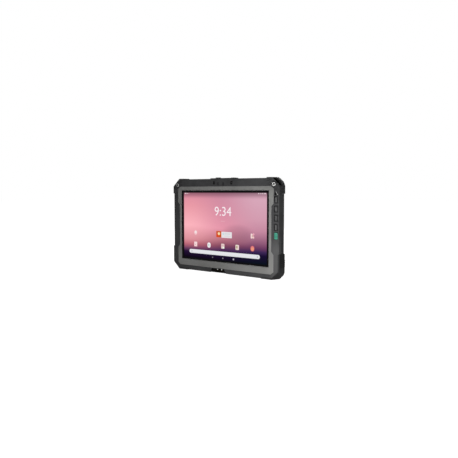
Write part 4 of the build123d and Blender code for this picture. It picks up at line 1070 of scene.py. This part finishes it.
class TABLET_OT_strap_posts(bpy.types.Operator):
    """Turns the strap screws: a dark shank and rim, a bright ring and a star-shaped socket."""

    bl_idname = "tablet.strap_posts"
    bl_label = "Strap posts"

    def execute(self, context):
        low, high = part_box("strap_post_screws")
        radius = (high.z - low.z) / 2
        rim = radius / MM
        height = (low.z + high.z) / 2
        spots = [(low.x + radius, height), (high.x - radius, height)]
        shank = [(2.0, (high.y - low.y) / MM), (2.0, 1.8), (rim, 1.8), (rim, 0.35), (4.25, 0.15),
                 (3.6, 0.12), (3.5, 0.4)]
        ring = [(3.5, 0.7), (3.48, 0.15), (3.35, 0.02), (2.95, 0), (2.4, 0.01), (2.2, 0.05),
                (2.15, 0.5)]
        socket = [(2.2, 0.4), (2.17, 0.07), (1.7, 0.08), (1.3, 0.22), (1.1, 0.34)]
        for word, profile, lobed, slot, look in (
                ("shanks", shank, 0, "black_steel", "black_steel"),
                ("rings", ring, 0, "bright_steel", "ring_nickel"),
                ("sockets", socket, 2, "black_steel", "pit_black")):
            stacks = [lathed(spot, low.y, profile, count=72, lobed=lobed) for spot in spots]
            piece = add("strap_post_" + word, stacks, slot, look, smooth_angle=32)
            if word == "shanks":
                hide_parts("strap_post_screws")
        return {"FINISHED"}


def raised(outline, face, height, edge=0.15):
    """Rings of a plate that stands `height` mm out of a rear face, its outer edge eased.

    The outer ring is drawn towards the middle by half of `edge` over the least
    offset of the outline from its middle.  That offset counts as 0.4 mm or more,
    and offsets under 0.2 mm are left out.
    """
    offset = outline - outline.mean(0)
    apart = np.abs(offset)
    least = max(apart[apart > 2e-4].min(), 4e-4)
    inner = outline.mean(0) + offset * (1 - edge * MM / least * 0.5)
    top = face + height * MM
    return [standing(outline, face - 0.2 * MM), standing(outline, top - edge * MM),
            standing(inner, top)]


def bar(x, z, half_x, half_z, radius=0.6, lean=0.0):
    """Outline of a rounded bar round (x, z), in millimetres; lean shifts its ends up and down."""
    outline = rounded_outline(half_x * MM, half_z * MM, radius * MM, 5)
    outline[:, 1] += outline[:, 0] * lean
    return outline + np.array([x, z]) * MM


def printed(name, x, z, pitch, rows, half_z, face, body, slot, extra=()):
    """Printed lines: rows of (half width, shift to the right) in mm, `pitch` apart."""
    bars = [bar(x + shift, z - pitch * row, half, half_z, 0.3)
            for row, (half, shift) in enumerate(rows)]
    stacks = [raised(outline, face + 0.1 * MM, 0.06, 0.02) for outline in [*bars, *extra]]
    add(name, stacks, slot, "label_ink", body)


class TABLET_OT_back(bpy.types.Operator):
    """Rounds the batteries and latches and gives them ribs, ridges and plain labels."""

    bl_idname = "tablet.back"
    bl_label = "Batteries and latches"

    def execute(self, context):
        for word in ("left", "right"):
            node = f"battery_{word}"
            softened(node, 0.5 * MM)
            low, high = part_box(node)
            middle = (low + high) / (2 * MM)
            ribs = [raised(bar(middle.x, middle.z - 30 + 5 * step, 34, 0.8), high.y, 0.5)
                    for step in range(8)]
            add(node + "_ribs", ribs, "battery_case", body=node)
            plate = raised(bar(middle.x, middle.z + 22, 27, 9.5, 1.2), high.y, 0.12, 0.05)
            add(node + "_label", [plate], "battery_case", "label_grey", node)
            rows = ((21, -2), (16, -7), (19, -4), (12, -11))
            printed(node + "_label_lines", middle.x, middle.z + 28, 3.2, rows, 0.5, high.y, node,
                    "battery_case")
            latch = f"battery_latch_{word}"
            softened(latch, 0.25 * MM)
            low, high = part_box(latch)
            middle = (low.x + high.x) / (2 * MM)
            ridges = [raised(bar(middle, high.z / MM - drop, 6.0, 0.35, 0.3), high.y, 0.3, 0.1)
                      for drop in (2.6, 4.0, 5.4)]
            add(latch + "_ridges", ridges, SLOT_OF[latch], body=f"latch_{word}")
        return {"FINISHED"}


class TABLET_OT_rear_detail(bpy.types.Operator):
    """Adds the rear cover's grip bars, camera ring, lamp ring, panel and rating label."""

    bl_idname = "tablet.rear_detail"
    bl_label = "Rear detail"

    def execute(self, context):
        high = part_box("rear_cover")[1]
        face = high.y
        top = high.z / MM
        grips = [raised(bar(side * 115, z, 7.5, 1.1, 1.0, side * 0.35), face, 0.9, 0.3)
                 for side in (-1, 1) for z in np.arange(top - 152, top - 46, 6.0)]
        add("rear_grips", grips, "cover_polymer", "bumper_rubber")
        panel = [raised(bar(2, top - 30, 42, 10, 3.0), face, 0.5, 0.2),
                 raised(bar(2, top - 30, 38, 6.5, 2.0), face + 0.4 * MM, 0.5, 0.2)]
        add("rear_panel", panel, "cover_polymer")
        plate = raised(bar(76, top - 34, 21, 8, 1.0), face, 0.12, 0.05)
        add("rating_label", [plate], "cover_polymer", "label_grey")
        printed("rating_lines", 76, top - 29, 2.6, ((17, 1), (13, 5), (15, 3), (9, 9)), 0.45, face,
                ROOT, "cover_polymer", [bar(60.5, top - 37, 3.0, 3.0, 0.3)])
        for node, word in (("rear_camera_window", "rear_camera"), ("rear_lamp", "lamp")):
            spot, reach = disc(node)
            edge = reach / MM
            ring = [(edge - 0.3, -0.3), (edge + 0.3, -0.3), (edge + 1.7, -0.2), (edge + 1.7, 0.6),
                    (edge + 1.4, 0.9), (edge + 0.3, 0.9), (edge - 0.2, 0.5), (edge - 0.3, -0.3)]
            add(word + "_ring", [lathed(spot, face, ring)], "black_steel", caps=(False, False))
            inner = [(0.62, -0.1), (0.6, 0.12), (0.5, 0.2), (0.42, 0.08), (0.3, 0.22), (0.05, 0.3)]
            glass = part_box(node)[1].y
            add(word + "_lens", [lathed(spot, glass, inner, reach)], SLOT_OF[node], smooth_angle=50)
        return {"FINISHED"}


class TABLET_OT_ports(bpy.types.Operator):
    """Rounds the port doors."""

    bl_idname = "tablet.ports"
    bl_label = "Port doors"

    def execute(self, context):
        for word in ("left", "right"):
            softened(f"port_door_{word}", 0.2 * MM)
        return {"FINISHED"}


OPERATORS = [TABLET_OT_stage, TABLET_OT_carried_nodes, TABLET_OT_shell, TABLET_OT_bezel,
             TABLET_OT_front_detail, TABLET_OT_bumpers, TABLET_OT_screen, TABLET_OT_keys,
             TABLET_OT_power_key, TABLET_OT_strap_posts, TABLET_OT_back,
             TABLET_OT_rear_detail, TABLET_OT_ports]


class TABLET_PT_panel(bpy.types.Panel):
    """Lists the tablet's settings and the operators that build it."""

    bl_idname = "TABLET_PT_panel"
    bl_label = "Rugged Field Tablet"
    bl_space_type = "VIEW_3D"
    bl_region_type = "UI"
    bl_category = "Tablet"

    def draw(self, context):
        layout = self.layout
        for group in (context.scene.tablet_looks, context.scene.tablet_sizes):
            box = layout.box()
            for name in group.__annotations__:
                box.prop(group, name)
        for operator in OPERATORS:
            layout.operator(operator.bl_idname)


CLASSES = [TabletLooks, TabletSizes, *OPERATORS, TABLET_PT_panel]


def register():
    """Registers the classes and hangs the settings on the scene."""
    for item in CLASSES:
        bpy.utils.register_class(item)
    bpy.types.Scene.tablet_looks = PointerProperty(type=TabletLooks)
    bpy.types.Scene.tablet_sizes = PointerProperty(type=TabletSizes)


def unregister():
    """Takes the settings and the classes away again."""
    del bpy.types.Scene.tablet_sizes
    del bpy.types.Scene.tablet_looks
    for item in reversed(CLASSES):
        bpy.utils.unregister_class(item)


def main():
    """Builds the whole tablet."""
    register()
    for operator in OPERATORS:
        getattr(bpy.ops.tablet, operator.bl_idname.split(".")[1])()


if __name__ == "__main__":
    main()
